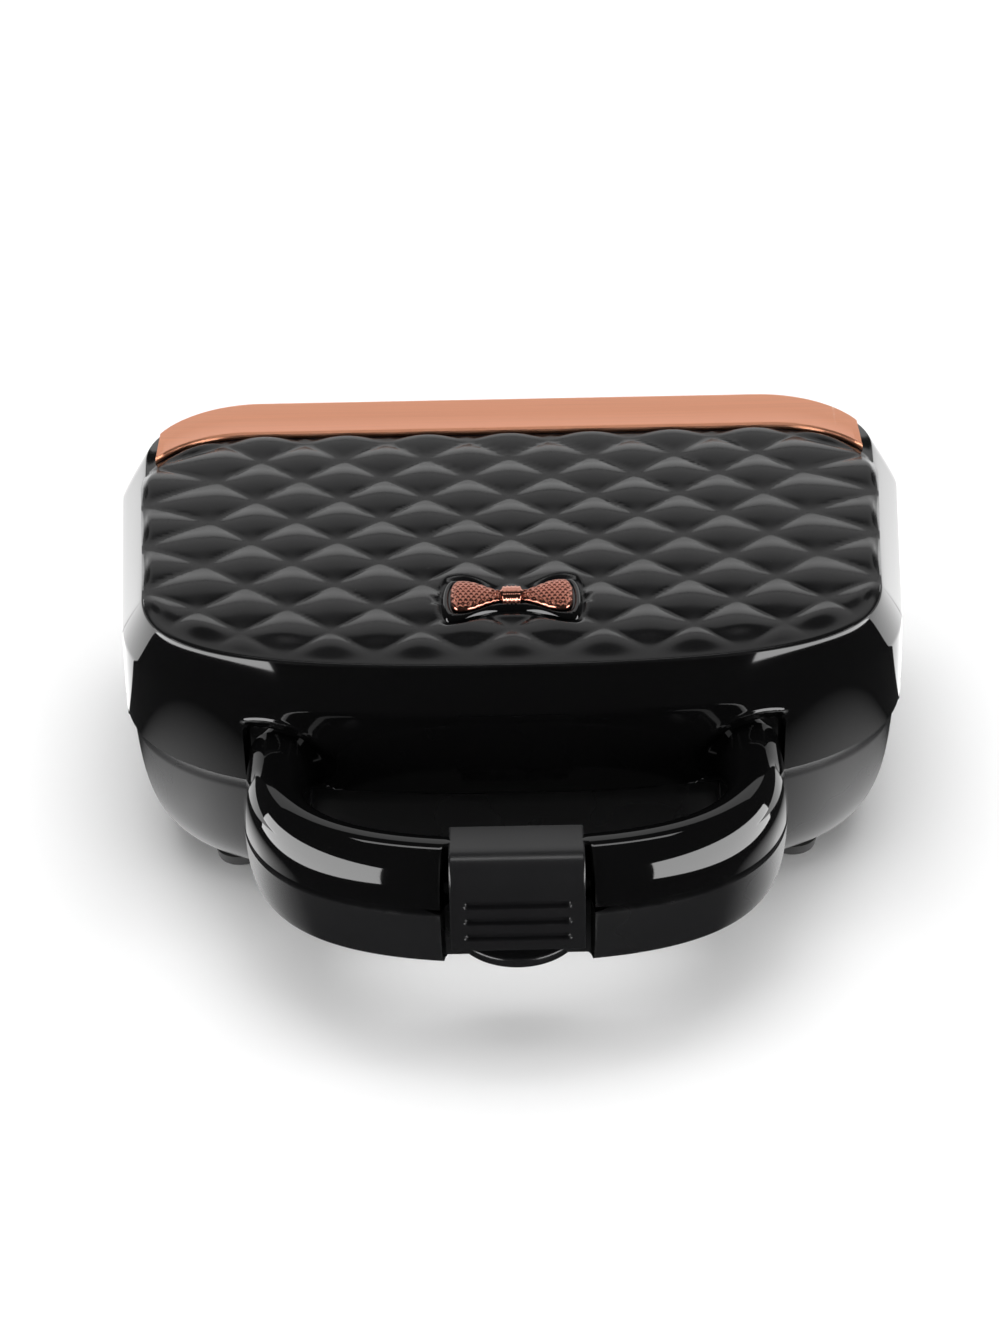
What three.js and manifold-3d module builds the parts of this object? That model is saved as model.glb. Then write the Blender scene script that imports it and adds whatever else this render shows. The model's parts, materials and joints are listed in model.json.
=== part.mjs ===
// Clamshell donut maker: a base and a hinged lid, each with a cast plate of six ring moulds,
// a loop handle split along the parting plane, and a sprung latch that straddles the handle.
// Millimetres, +Z up, +Y to the hinge, origin under the middle of the case on the table.
import * as THREE from 'three';
import { mergeVertices } from 'three/addons/utils/BufferGeometryUtils.js';
import Module from 'manifold-3d';

const wasm = await Module();
wasm.setup();

// ---------------------------------------------------------------- driving dimensions
const CASE_HALF_WIDTH = 120.5; // at the parting plane, beside the rear corners
const CASE_DEPTH = 159; // at the parting plane, front wall to rear wall
const REAR_Y = 102; // rear wall at the parting plane
const PARTING_Z = 46; // where lid and base meet at the front
const LID_TOP_Z = 86; // border of the quilted panel
const BASE_BOTTOM_Z = 4; // underside of the base
const SIDE_STEP_Y = -8; // behind this the parting line is one step higher
const SIDE_STEP = 5; // height of that step
const WALL = 2.6; // moulded walls
const SHELL_GAP = 0.5; // each shell stays this far from the parting plane
const FIT = 0.3; // gap between pieces that touch
const LOOSE = 0.8; // gap where a piece moves or drops in

// Plan of the case at three heights: width lost to the front, corner sizes, nose bow.
const PARTING_PLAN = {
  inset: 0, front: 0, rear: 0, taper: 7.5, shoulder: 52, sweep: 40, corner: 36, nose: 70,
};
const TOP_PLAN = {
  inset: 9.7, front: 3.4, rear: 2.4, taper: 6.4, shoulder: 39.6, sweep: 30, corner: 33, nose: 75,
};
const BOTTOM_PLAN = {
  inset: 14, front: 18, rear: 8, taper: 5, shoulder: 40, sweep: 34, corner: 34, nose: 60,
};
// How far each level has moved from the parting plan to the other plan.
const LID_LEVELS = [[0, 0], [0.2, 0.1], [0.45, 0.3], [0.7, 0.55], [0.9, 0.82], [1, 1]];
const BASE_LEVELS = [[0, 0], [0.35, 0.07], [0.62, 0.22], [0.83, 0.46], [0.95, 0.75], [1, 1]];
const NOSE_STEPS = 9; // chords of the front curve, each side
const CORNER_STEPS = 5; // chords of a rear corner
const BASE_INSET = 1.5; // base wall set in from the lid wall
const NOSE_REACH = 0.68; // the front centre's handle is at most this share of the half width
const CORNER_PULL = 0.55; // handles of a rear corner, as a share of its size
const FLANGE_HEIGHT = 8; // raised rim along the sides and rear

const QUILT_RISE = 1.3;
const QUILT_MARGIN = 5; // run of the slope round the panel
const CROWN_INSET = 0.6;
const CROWN_BURIED = 0.5;
const BAND_WIDTH = 21.8;
const BAND_RISE = 1.7;
const BAND_EDGE = 0.6; // band set in from the rear edge
const BAND_HALF = 107.5; // the band's ends are cut square here
const BAND_INNER_CORNER = 30;

const BOW_WIDTH = 34.4;
const BOW_DEPTH = 15;
const BOW_WAIST = 5.4;
const BOW_RISE = 1.9;
const BOW_FLARE = { lead: 0.35, pull: 0.55, end: 0.82 }; // shares of the half width
const BOW_FLARE_STEPS = 6;
const BOW_END_STEPS = 4;
const KNOT = { extra: 0.8, wide: 1.15, deep: 1.25, high: 0.5, sunk: 0.6, around: 10, up: 6 };
const BOW_SET_BACK = 31; // bow centre behind the front edge of the panel
const BEZEL_BORDER = 1.6;
const BEZEL_RISE = 1.2;

const HANDLE_REACH = 45; // front wall to the middle of the grip bar
const HANDLE_HALF = 65.7; // middle of each arm from the centre plane
const HANDLE_THICK = 18;
const HANDLE_UP = 16; // grip above the parting plane
const HANDLE_DOWN = 19.5; // grip below it
const HANDLE_GAP = 0.8; // half of the gap between the two grip halves
const HANDLE_STRAIGHT = 5; // straight part of an arm in front of the wall
const HANDLE_BEND = 17; // reach of the bend's first handle
const HANDLE_BEND_IN = 0.76; // place of its second handle, as a share of the half width
const HANDLE_CLEAR = 0.6; // the lower grip passes this far into the base's wall
const HANDLE_ROOT = 16; // length of arm buried in the case wall
const HANDLE_STEPS = 15;
const HANDLE_SIDES = 8;
const GRIP_BULGE = 2.7; // exponent of the grip's rounded section

const LATCH_WIDTH = 35.5;
const LATCH_SIDE_GAP = 0.6;
const LATCH_SKIN = 2.6;
const LATCH_BELOW = 11.5; // latch lower edge under the parting plane
const LATCH_PROUD = 1.6; // latch face in front of the grip
const LATCH_PIVOT_UP = 10.6; // pivot above the parting plane
const LATCH_PIVOT_BACK = 2.4; // pivot behind the middle of the grip
const LATCH_PIN_R = 1.5;
const LATCH_BARREL_R = 4.2;
const LATCH_GROOVES = 3;
const LATCH_GROOVE_PITCH = 5.6;
const LATCH_GROOVE_HEIGHT = 2.4;
const LATCH_GROOVE_LENGTH = 28;
const LATCH_GROOVE_DEPTH = 1.4;
const LATCH_GROOVE_DROP = 1; // middle groove below the middle of the face
const LATCH_HOOK = 2.8; // height of the hook along the lower edge
const LATCH_HOOK_REACH = 2;
const LATCH_SHOULDER = 6.5;
const LATCH_SHOULDER_TOP = 2; // the round runs this much further along the top
const LATCH_SHOULDER_FACE = 4; // and this much further down the face
const LATCH_TUCK = 1.4; // the face leans back towards its lower edge
const LATCH_CHAMFER = 0.8;
const LATCH_TOP_FALL = 0.4;
const LATCH_REAR_GAP = 1; // top edge short of the grip's rear face
const LATCH_RIB = 2.2;
const LATCH_CURVE_STEPS = 5;
const BRIDGE_UP = 4.5; // grip core that the latch straddles
const BRIDGE_FRONT = 1.2; // its front face before the middle of the grip
const BRIDGE_STEP = 1; // the lower grip's bridge is this far in front of the upper one
const PIN_BURIED = 6;
const SPRING_COIL_R = 2.7;
const SPRING_WIRE_R = 0.45;
const SPRING_TURNS = 4;
const SPRING_STEPS = 8; // chords of one turn
const SPRING_HALF = 4.5;
const CATCH_HALF = 9;
const CATCH_HEIGHT = 3.5;
const LIP_R = 17.7; // finger lip under the latch
const LIP_THICK = 3;
const LIP_SET_BACK = 3.5; // front of the lip behind the latch face
const LIP_UP = 0.5; // lip above the underside of the grip
const LIP_SIDES = 28;

const HINGE_R = 5;
const HINGE_PIN_R = 2;
const HINGE_CLEAR = 0.6; // barrels stand this far off the rear wall
const HINGE_WEB_BURIED = 0.6;
const HINGE_X = 67;
const HINGE_LID_WIDTH = 14;
const HINGE_BASE_WIDTH = 9;
const HINGE_SIDES = 16;

const PLATE_INSET = 11; // plate edge in from the case outline
const PLATE_GAP = 0.8; // between the two closed plates
const PLATE_THICK = 3;
const PLATE_LAND_X = 9; // flat border beside the moulds
const PLATE_LAND_Y = 5.5;
const MOULD_COLUMNS = 3;
const MOULD_ROWS = 2;
const MOULD_GAP = 7; // land between neighbouring moulds
const MOULD_DEPTH = 10;
const MOULD_POST_R = 8;
const MOULD_WALL = 2;
const DOME_DROP = 1; // a dome starts this far below the cooking face
const MOULD_ROUND = 16; // chords of a mould
const MOULD_STEPS = 4; // chords across its channel
const FRAME_ROUND = 24; // chords of the room round a mould
const FRAME_LEDGE = 3.4; // width that the plate rests on
const FRAME_LEDGE_THICK = 2;
const SCREW_R = 1.5;
const SCREW_HEAD_R = 2.6;
const SCREW_HEAD = 1.4;
const SCREW_LENGTH = 9;
const SCREW_FROM_SHOULDER = 6; // first screw behind the front curve
const SCREW_FROM_CORNER = 2; // second screw in front of the rear corner
const SCREW_SLOT = 0.45; // half width of the slot
const SCREW_SLOT_DEPTH = 0.5;
const SCREW_SIDES = 12;
const BOSS_WALL = 1.8;

const HEATER_R = 3.2;
const HEATER_BEND = 24;
const HEATER_TAIL = 14; // length of each end behind the rear run
const HEATER_TAIL_SHARE = 1 / 3; // ends apart, as a share of the run
const HEATER_STEPS = 36;
const REFLECTOR_DROP = 2.2; // below the heater
const REFLECTOR_INSET = 14; // in from the plate edge
const REFLECTOR_SHEET = 0.8;
const REFLECTOR_RIM = 5;
const THERMOSTAT_R = 8;
const THERMOSTAT_HEIGHT = 7;
const FUSE_R = 2.2;
const FUSE_LENGTH = 22;
const FUSE_BACK = 8; // behind the thermostat
const TERMINAL = { x: 26, y: 12, z: 11 };
const TERMINAL_HOLES = 3;
const TERMINAL_BORE_R = 2;
const TERMINAL_BACK = 22; // middle in front of the rear edge of the floor
const TERMINAL_SIDES = 10;
const INLET_R = 5.4;
const INLET_BORE_R = 3.4;
const INLET_FLANGE_R = 7.6;
const INLET_PROUD = 3;
const INLET_X = -34;
const INLET_UP = 18;
const INLET_BARREL = 12; // length inside the wall
const INLET_BORE_LENGTH = 30;
const INLET_CHAMFER = 1;
const FOOT_R = 7.5;
const FOOT_TREAD = 1.5; // tread in from the foot's side
const FOOT_EDGE = { inset: 0.8, up: 0.6 };
const FOOT_INSET = 20;

const WIRE_SEGMENTS = 3; // a bent wire or tube has twice as many sides
const OVER = 1; // cutters run past the faces they open
const FAR = 400; // half size of the cutting blocks
const WELD = 1e-4; // points nearer than this are one

// ---------------------------------------------------------------- derived positions
const FRONT_Y = REAR_Y - CASE_DEPTH;
const REAR_PARTING_Z = PARTING_Z + SIDE_STEP;
const BAR_Y = FRONT_Y - HANDLE_REACH;
const GRIP_FRONT_Y = BAR_Y - HANDLE_THICK / 2;
const GRIP_TOP_Z = PARTING_Z + HANDLE_UP + HANDLE_GAP;
const HINGE_Y = REAR_Y + HINGE_R + HINGE_CLEAR;
const HINGE_Z = REAR_PARTING_Z;
const PIVOT_Y = BAR_Y + LATCH_PIVOT_BACK;
const PIVOT_Z = PARTING_Z + LATCH_PIVOT_UP;
const NOTCH_HALF = LATCH_WIDTH / 2 + LATCH_SIDE_GAP;
const LATCH_FACE_Y = GRIP_FRONT_Y - LATCH_PROUD;
const LATCH_BOTTOM_Z = PARTING_Z - LATCH_BELOW;
const PLATE_FRONT_HALF = CASE_HALF_WIDTH - PARTING_PLAN.taper - PLATE_INSET;
const PLATE_DEPTH = CASE_DEPTH - 2 * PLATE_INSET;
const PITCH_X = (2 * (PLATE_FRONT_HALF - PLATE_LAND_X)) / MOULD_COLUMNS;
const PITCH_Y = (PLATE_DEPTH - 2 * PLATE_LAND_Y) / MOULD_ROWS;
const MOULD_R = (Math.min(PITCH_X, PITCH_Y) - MOULD_GAP) / 2;
const PLATE_MID_Y = (FRONT_Y + REAR_Y) / 2;
const FRAME_OUTER = BASE_INSET + WALL + LOOSE + FIT;
const FRAME_INNER = PLATE_INSET - FIT;
const SCREW_INSET = (FRAME_OUTER + FRAME_INNER) / 2;
const DOME_DEPTH = MOULD_DEPTH + MOULD_WALL;
const PANEL_Y = FRONT_Y + TOP_PLAN.front;
const BOW_Y = PANEL_Y + BOW_SET_BACK;
const LOWER_BRIDGE_Y = BAR_Y - BRIDGE_FRONT - BRIDGE_STEP;
const HOOK_INNER_Y = LATCH_FACE_Y + LATCH_SKIN + LATCH_TUCK + LATCH_HOOK_REACH;

// ---------------------------------------------------------------- solids
const vec2 = (x, y) => new THREE.Vector2(x, y);
const vec3 = (x, y, z) => new THREE.Vector3(x, y, z);

function welded(geometry) {
  const bare = geometry.clone();
  bare.deleteAttribute('normal');
  bare.deleteAttribute('uv');
  return mergeVertices(bare, WELD);
}

function toSolid(geometry) {
  const merged = welded(geometry);
  const vertProperties = new Float32Array(merged.attributes.position.array);
  const triVerts = new Uint32Array(merged.index.array);
  return new wasm.Manifold(new wasm.Mesh({ numProp: 3, vertProperties, triVerts }));
}

function toGeometry(solid) {
  const mesh = solid.getMesh();
  const geometry = new THREE.BufferGeometry();
  geometry.setAttribute('position', new THREE.BufferAttribute(new Float32Array(mesh.vertProperties), 3));
  geometry.setIndex(new THREE.BufferAttribute(new Uint32Array(mesh.triVerts), 1));
  geometry.computeVertexNormals();
  return geometry;
}

// A closed skin over rings of equal length, capped at both ends by the given flat outline.
function loft(rings, capOutline) {
  const count = rings[0].length;
  const positions = rings.flatMap((ring) => ring.flatMap((p) => [p.x, p.y, p.z]));
  const faces = [];
  for (let level = 0; level + 1 < rings.length; level += 1) {
    for (let i = 0; i < count; i += 1) {
      const a = level * count + i;
      const b = level * count + ((i + 1) % count);
      faces.push(a, b, b + count, a, b + count, a + count);
    }
  }
  const last = (rings.length - 1) * count;
  const clockwise = THREE.ShapeUtils.isClockWise(capOutline);
  for (const [a, middle, z] of THREE.ShapeUtils.triangulateShape(capOutline, [])) {
    const [b, c] = clockwise ? [z, middle] : [middle, z];
    faces.push(c, b, a, last + a, last + b, last + c);
  }
  const geometry = new THREE.BufferGeometry();
  geometry.setAttribute('position', new THREE.Float32BufferAttribute(positions, 3));
  geometry.setIndex(faces);
  const solid = toSolid(geometry);
  return solid.volume() > 0 ? solid : toSolid(flipped(geometry));
}

function flipped(geometry) {
  const index = Array.from(geometry.index.array);
  for (let i = 0; i < index.length; i += 3) {
    [index[i], index[i + 1]] = [index[i + 1], index[i]];
  }
  geometry.setIndex(index);
  return geometry;
}

const span = (a, b) => [Math.min(a, b), Math.max(a, b)];

function block(x0, x1, y0, y1, z0, z1) {
  const box = new THREE.BoxGeometry(x1 - x0, y1 - y0, z1 - z0);
  return toSolid(box.translate((x0 + x1) / 2, (y0 + y1) / 2, (z0 + z1) / 2));
}

function rodX(radius, x0, x1, y, z, sides = HINGE_SIDES) {
  const rod = new THREE.CylinderGeometry(radius, radius, x1 - x0, sides);
  return toSolid(rod.rotateZ(Math.PI / 2).translate((x0 + x1) / 2, y, z));
}

function rodZ(radius, z0, z1, x, y, sides = SCREW_SIDES) {
  const rod = new THREE.CylinderGeometry(radius, radius, z1 - z0, sides);
  return toSolid(rod.rotateX(Math.PI / 2).translate(x, y, (z0 + z1) / 2));
}

// A turned solid about a vertical line; the profile holds [radius, height] pairs.
function turned(profile, x, y, sides = MOULD_ROUND) {
  const closed = [...profile, profile[0]].map(([r, z]) => vec2(r, z));
  const lathe = new THREE.LatheGeometry(closed, sides).rotateX(Math.PI / 2);
  const solid = toSolid(lathe.translate(x, y, 0));
  return solid.volume() > 0 ? solid : toSolid(flipped(welded(lathe)));
}

function prism(outline, z0, z1) {
  const low = outline.map((p) => vec3(p.x, p.y, z0));
  const high = outline.map((p) => vec3(p.x, p.y, z1));
  return loft([low, high], outline);
}

const union = (first, ...rest) => rest.reduce((sum, solid) => sum.add(solid), first);
const cut = (first, ...rest) => rest.reduce((left, solid) => left.subtract(solid), first);

// ---------------------------------------------------------------- case outline
const blendPlans = (a, b, t) => Object.fromEntries(
  Object.keys(a).map((key) => [key, a[key] + (b[key] - a[key]) * t]),
);

// Half of the outline, front centre to rear centre, then its mirror image.
function caseOutline(plan, inset = 0) {
  const rearX = CASE_HALF_WIDTH - plan.inset - inset;
  const rearY = REAR_Y - plan.rear - inset;
  const frontY = FRONT_Y + plan.front + inset;
  const corner = Math.max(plan.corner - inset, WALL);
  const shoulder = vec2(rearX - plan.taper, FRONT_Y + plan.front + plan.shoulder);
  const cornerStart = vec2(rearX, rearY - corner);
  const along = cornerStart.clone().sub(shoulder).normalize();
  const pull = shoulder.clone().addScaledVector(along, inset - plan.sweep);
  const nose = new THREE.CubicBezierCurve(
    vec2(0, frontY), vec2(Math.min(plan.nose, rearX * NOSE_REACH), frontY), pull, shoulder,
  );
  const round = CORNER_PULL * corner;
  const turn = new THREE.CubicBezierCurve(
    cornerStart, cornerStart.clone().addScaledVector(along, round),
    vec2(rearX - corner + round, rearY), vec2(rearX - corner, rearY),
  );
  const half = [...nose.getPoints(NOSE_STEPS), ...turn.getPoints(CORNER_STEPS)];
  const mirror = half.slice(1).reverse().map((p) => vec2(-p.x, p.y));
  return [...half, ...mirror];
}

// The case skin from the parting plan to another plan, as a stack of outlines.
function caseLoft(levels, startZ, endZ, endPlan, inset) {
  const rings = levels.map(([rise, change]) => {
    const z = startZ + (endZ - startZ) * rise;
    const outline = caseOutline(blendPlans(PARTING_PLAN, endPlan, change), inset);
    return outline.map((p) => vec3(p.x, p.y, z));
  });
  return loft(rings, rings[0].map((p) => vec2(p.x, p.y)));
}

const ringPrism = (outerInset, innerInset, z0, z1) => cut(
  prism(caseOutline(PARTING_PLAN, outerInset), z0, z1),
  prism(caseOutline(PARTING_PLAN, innerInset), z0 - OVER, z1 + OVER),
);

// ---------------------------------------------------------------- handle loop
function handlePath() {
  const rootY = FRONT_Y + HANDLE_ROOT;
  const bendY = FRONT_Y - HANDLE_STRAIGHT;
  const half = new THREE.CurvePath();
  half.add(new THREE.LineCurve3(vec3(HANDLE_HALF, rootY, 0), vec3(HANDLE_HALF, bendY, 0)));
  half.add(new THREE.CubicBezierCurve3(
    vec3(HANDLE_HALF, bendY, 0), vec3(HANDLE_HALF, BAR_Y + HANDLE_BEND, 0),
    vec3(HANDLE_HALF * HANDLE_BEND_IN, BAR_Y, 0), vec3(0, BAR_Y, 0),
  ));
  return half.getSpacedPoints(HANDLE_STEPS);
}

// Half of the grip on one side of the parting plane, swept round the loop.
function handleHalf(startZ, height, thick) {
  const half = handlePath();
  const path = [...half, ...half.slice(0, -1).reverse().map((p) => vec3(-p.x, p.y, 0))];
  const section = [];
  for (let i = 0; i <= HANDLE_SIDES; i += 1) {
    const turn = (Math.PI * i) / HANDLE_SIDES;
    const across = Math.sign(Math.cos(turn)) * Math.abs(Math.cos(turn)) ** (2 / GRIP_BULGE);
    const up = Math.sin(turn) ** (2 / GRIP_BULGE);
    section.push(vec2((across * thick) / 2, up * height));
  }
  const rings = path.map((point, i) => {
    const before = path[Math.max(i - 1, 0)];
    const after = path[Math.min(i + 1, path.length - 1)];
    const along = after.clone().sub(before).normalize();
    const side = vec3(-along.y, along.x, 0);
    return section.map((s) => point.clone().addScaledVector(side, s.x).setZ(startZ + s.y));
  });
  return loft(rings, section);
}

// ---------------------------------------------------------------- plates and their frames
function mouldCentres() {
  const centres = [];
  for (let row = 0; row < MOULD_ROWS; row += 1) {
    for (let column = 0; column < MOULD_COLUMNS; column += 1) {
      centres.push([
        (column - (MOULD_COLUMNS - 1) / 2) * PITCH_X,
        PLATE_MID_Y + (row - (MOULD_ROWS - 1) / 2) * PITCH_Y,
      ]);
    }
  }
  return centres;
}

// Half of a round channel between the post and the mould's rim, offset by the wall.
function channelProfile(wall, faceZ, away) {
  const middle = (MOULD_R + MOULD_POST_R) / 2;
  const half = (MOULD_R - MOULD_POST_R) / 2 + wall;
  const profile = [];
  for (let i = 0; i <= MOULD_STEPS; i += 1) {
    const turn = (Math.PI * i) / MOULD_STEPS;
    const depth = Math.sin(turn) * (MOULD_DEPTH + wall);
    profile.push([middle - half * Math.cos(turn), faceZ + away * depth]);
  }
  return profile;
}

// faceZ is the cooking face; away is -1 for the lower plate and +1 for the upper one.
function mouldPlate(faceZ, away) {
  const backZ = faceZ + away * PLATE_THICK;
  const outline = caseOutline(PARTING_PLAN, PLATE_INSET);
  let plate = prism(outline, ...span(faceZ, backZ));
  for (const [x, y] of mouldCentres()) {
    const domeZ = faceZ + away * DOME_DROP;
    plate = union(plate, turned(channelProfile(MOULD_WALL, domeZ, away), x, y));
  }
  for (const [x, y] of mouldCentres()) {
    const channel = channelProfile(0, faceZ, away);
    const overZ = faceZ - away * OVER;
    const opened = [...channel, [MOULD_R, overZ], [MOULD_POST_R, overZ]];
    plate = cut(plate, turned(opened, x, y));
  }
  return plate;
}

// A ring between the shell's wall and the plate, with a ledge that the plate's edge rests on.
function plateFrame(faceZ, away, plateFaceZ) {
  const ledgeNear = plateFaceZ + away * (PLATE_THICK + FIT);
  const ledgeFar = ledgeNear + away * FRAME_LEDGE_THICK;
  const overZ = faceZ - away * OVER;
  const pocket = prism(caseOutline(PARTING_PLAN, FRAME_INNER), ...span(overZ, ledgeNear));
  let frame = ringPrism(FRAME_OUTER, PLATE_INSET + FRAME_LEDGE, ...span(faceZ, ledgeFar));
  frame = frame.subtract(pocket);
  for (const [x, y] of mouldCentres()) {
    const room = MOULD_R + MOULD_WALL + LOOSE;
    frame = frame.subtract(rodZ(room, ...span(overZ, ledgeFar + away * OVER), x, y, FRAME_ROUND));
  }
  for (const [x, y] of screwPlaces()) {
    const seatZ = faceZ + away * (SCREW_HEAD + FIT);
    frame = cut(
      frame,
      rodZ(SCREW_R + FIT, ...span(overZ, ledgeFar + away * OVER), x, y),
      rodZ(SCREW_HEAD_R + FIT, ...span(overZ, seatZ), x, y),
    );
  }
  return frame;
}

// Four screws on the flat of the frame, where the sides are straight.
function screwPlaces() {
  const shoulderY = FRONT_Y + PARTING_PLAN.shoulder;
  const cornerY = REAR_Y - PARTING_PLAN.corner;
  const places = [];
  for (const side of [-1, 1]) {
    for (const y of [shoulderY + SCREW_FROM_SHOULDER, cornerY - SCREW_FROM_CORNER]) {
      const lost = (PARTING_PLAN.taper * (cornerY - y)) / (cornerY - shoulderY);
      places.push([side * (CASE_HALF_WIDTH - lost - SCREW_INSET), y]);
    }
  }
  return places;
}

function screw(faceZ, away) {
  const tip = faceZ + away * SCREW_LENGTH;
  const seat = faceZ + away * SCREW_HEAD;
  const shank = rodZ(SCREW_R, ...span(seat, tip), 0, 0);
  const slotZ = [faceZ - SCREW_SLOT_DEPTH, faceZ + SCREW_SLOT_DEPTH];
  const slot = block(-SCREW_R, SCREW_R, -SCREW_SLOT, SCREW_SLOT, ...slotZ);
  const head = rodZ(SCREW_HEAD_R, ...span(faceZ, seat), 0, 0);
  return cut(union(head, shank), slot);
}

// A blind post that takes one frame screw, from the frame to the shell's far wall.
function boss(x, y, nearZ, farZ) {
  return rodZ(SCREW_R + BOSS_WALL, ...span(nearZ, farZ), x, y);
}

const bossHole = (x, y, nearZ, away) => {
  const depth = nearZ + away * SCREW_LENGTH;
  return rodZ(SCREW_R + FIT, ...span(nearZ - away * OVER, depth), x, y);
};

// ---------------------------------------------------------------- heaters and reflectors
function heater(z) {
  const halfX = PITCH_X;
  const frontY = PLATE_MID_Y - PITCH_Y / 2;
  const rearY = PLATE_MID_Y + PITCH_Y / 2;
  const tail = halfX * HEATER_TAIL_SHARE;
  const path = new THREE.CurvePath();
  const stops = [
    [-tail, rearY + HEATER_TAIL], [-tail, rearY], [-halfX, rearY], [-halfX, frontY],
    [halfX, frontY], [halfX, rearY], [tail, rearY], [tail, rearY + HEATER_TAIL],
  ].map(([x, y]) => vec3(x, y, 0));
  const bends = [0, tail / 2, HEATER_BEND, HEATER_BEND, HEATER_BEND, HEATER_BEND, tail / 2, 0];
  let from = stops[0];
  for (let i = 1; i + 1 < stops.length; i += 1) {
    const reach = Math.min(bends[i], stops[i + 1].distanceTo(stops[i]) / 2);
    const enter = stops[i].clone().lerp(stops[i - 1], reach / stops[i].distanceTo(stops[i - 1]));
    const leave = stops[i].clone().lerp(stops[i + 1], reach / stops[i].distanceTo(stops[i + 1]));
    path.add(new THREE.LineCurve3(from, enter));
    path.add(new THREE.QuadraticBezierCurve3(enter, stops[i], leave));
    from = leave;
  }
  path.add(new THREE.LineCurve3(from, stops[stops.length - 1]));
  const section = new THREE.Shape().absarc(0, 0, HEATER_R, 0, 2 * Math.PI);
  const tube = new THREE.ExtrudeGeometry(section, {
    steps: HEATER_STEPS, curveSegments: WIRE_SEGMENTS, extrudePath: path,
  });
  return toSolid(tube.translate(0, 0, z));
}

function reflector(z, away) {
  const outline = caseOutline(PARTING_PLAN, PLATE_INSET + REFLECTOR_INSET);
  const inner = caseOutline(PARTING_PLAN, PLATE_INSET + REFLECTOR_INSET + REFLECTOR_SHEET);
  const floor = z + away * REFLECTOR_SHEET;
  const rim = z - away * REFLECTOR_RIM;
  return cut(prism(outline, ...span(floor, rim)), prism(inner, ...span(z, rim - away * OVER)));
}

// ---------------------------------------------------------------- hinge
const lidKnuckle = (side) => [
  side * HINGE_X - HINGE_LID_WIDTH / 2, side * HINGE_X + HINGE_LID_WIDTH / 2,
];

function baseKnuckles(side) {
  const [x0, x1] = lidKnuckle(side);
  return [[x0 - FIT - HINGE_BASE_WIDTH, x0 - FIT], [x1 + FIT, x1 + FIT + HINGE_BASE_WIDTH]];
}

function knuckle([x0, x1], webLow, webHigh) {
  const web = block(x0, x1, REAR_Y - WALL - HINGE_WEB_BURIED, HINGE_Y, webLow, webHigh);
  return union(rodX(HINGE_R, x0, x1, HINGE_Y, HINGE_Z), web);
}

function pinBores() {
  return [-1, 1].map((side) => {
    const [[x0], [, x1]] = baseKnuckles(side);
    return rodX(HINGE_PIN_R + FIT, x0 - OVER, x1 + OVER, HINGE_Y, HINGE_Z);
  });
}

function hingePin(side) {
  const [[x0], [, x1]] = baseKnuckles(side);
  return rodX(HINGE_PIN_R, x0, x1, HINGE_Y, HINGE_Z);
}

// ---------------------------------------------------------------- lid
const SCREW_PLACES = screwPlaces();
const UPPER_FACE_Z = PARTING_Z + PLATE_GAP / 2;
const LOWER_FACE_Z = PARTING_Z - PLATE_GAP / 2;
const LID_FRAME_Z = PARTING_Z + SHELL_GAP + LOOSE / 2;
const BASE_FRAME_Z = PARTING_Z - SHELL_GAP - LOOSE / 2;
const ledgeEnd = (plateZ, away) => plateZ + away * (PLATE_THICK + FIT + FRAME_LEDGE_THICK);
const LID_BOSS_Z = ledgeEnd(UPPER_FACE_Z, 1) + FIT;
const BASE_BOSS_Z = ledgeEnd(LOWER_FACE_Z, -1) - FIT;

function panelOutline(inset) {
  const plan = { ...TOP_PLAN, rear: TOP_PLAN.rear + BAND_WIDTH, corner: BAND_INNER_CORNER };
  return caseOutline(plan, inset);
}

function lidShell() {
  const low = PARTING_Z + SHELL_GAP;
  const outer = caseLoft(LID_LEVELS, low, LID_TOP_Z, TOP_PLAN, 0);
  const inner = caseLoft(LID_LEVELS, low - OVER, LID_TOP_Z - WALL, TOP_PLAN, WALL);
  const belowStep = block(-FAR, FAR, SIDE_STEP_Y - SHELL_GAP, FAR, 0, REAR_PARTING_Z + SHELL_GAP);
  const besideHinge = block(-FAR, FAR, REAR_Y + FIT, FAR, 0, FAR);
  const slope = [[CROWN_INSET, -CROWN_BURIED], [QUILT_MARGIN, QUILT_RISE]];
  const crownRings = slope.map(([inset, rise]) => (
    panelOutline(inset).map((p) => vec3(p.x, p.y, LID_TOP_Z + rise))
  ));
  const crown = loft(crownRings, panelOutline(QUILT_MARGIN));
  const posts = SCREW_PLACES.map(([x, y]) => boss(x, y, LID_BOSS_Z, LID_TOP_Z).intersect(outer));
  const core = handleHalf(PARTING_Z + HANDLE_GAP, HANDLE_UP, HANDLE_THICK);
  const grip = cut(core, inner, ...latchNotch());
  const webZ = [REAR_PARTING_Z + SHELL_GAP + FIT, HINGE_Z + HINGE_R];
  const knuckles = [-1, 1].map((side) => knuckle(lidKnuckle(side), ...webZ));
  const shell = union(cut(union(outer, crown), inner), ...posts, grip, ...knuckles);
  const holes = SCREW_PLACES.map(([x, y]) => bossHole(x, y, LID_BOSS_Z, 1));
  return cut(shell, belowStep.subtract(besideHinge), ...holes, ...pinBores());
}

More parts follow.
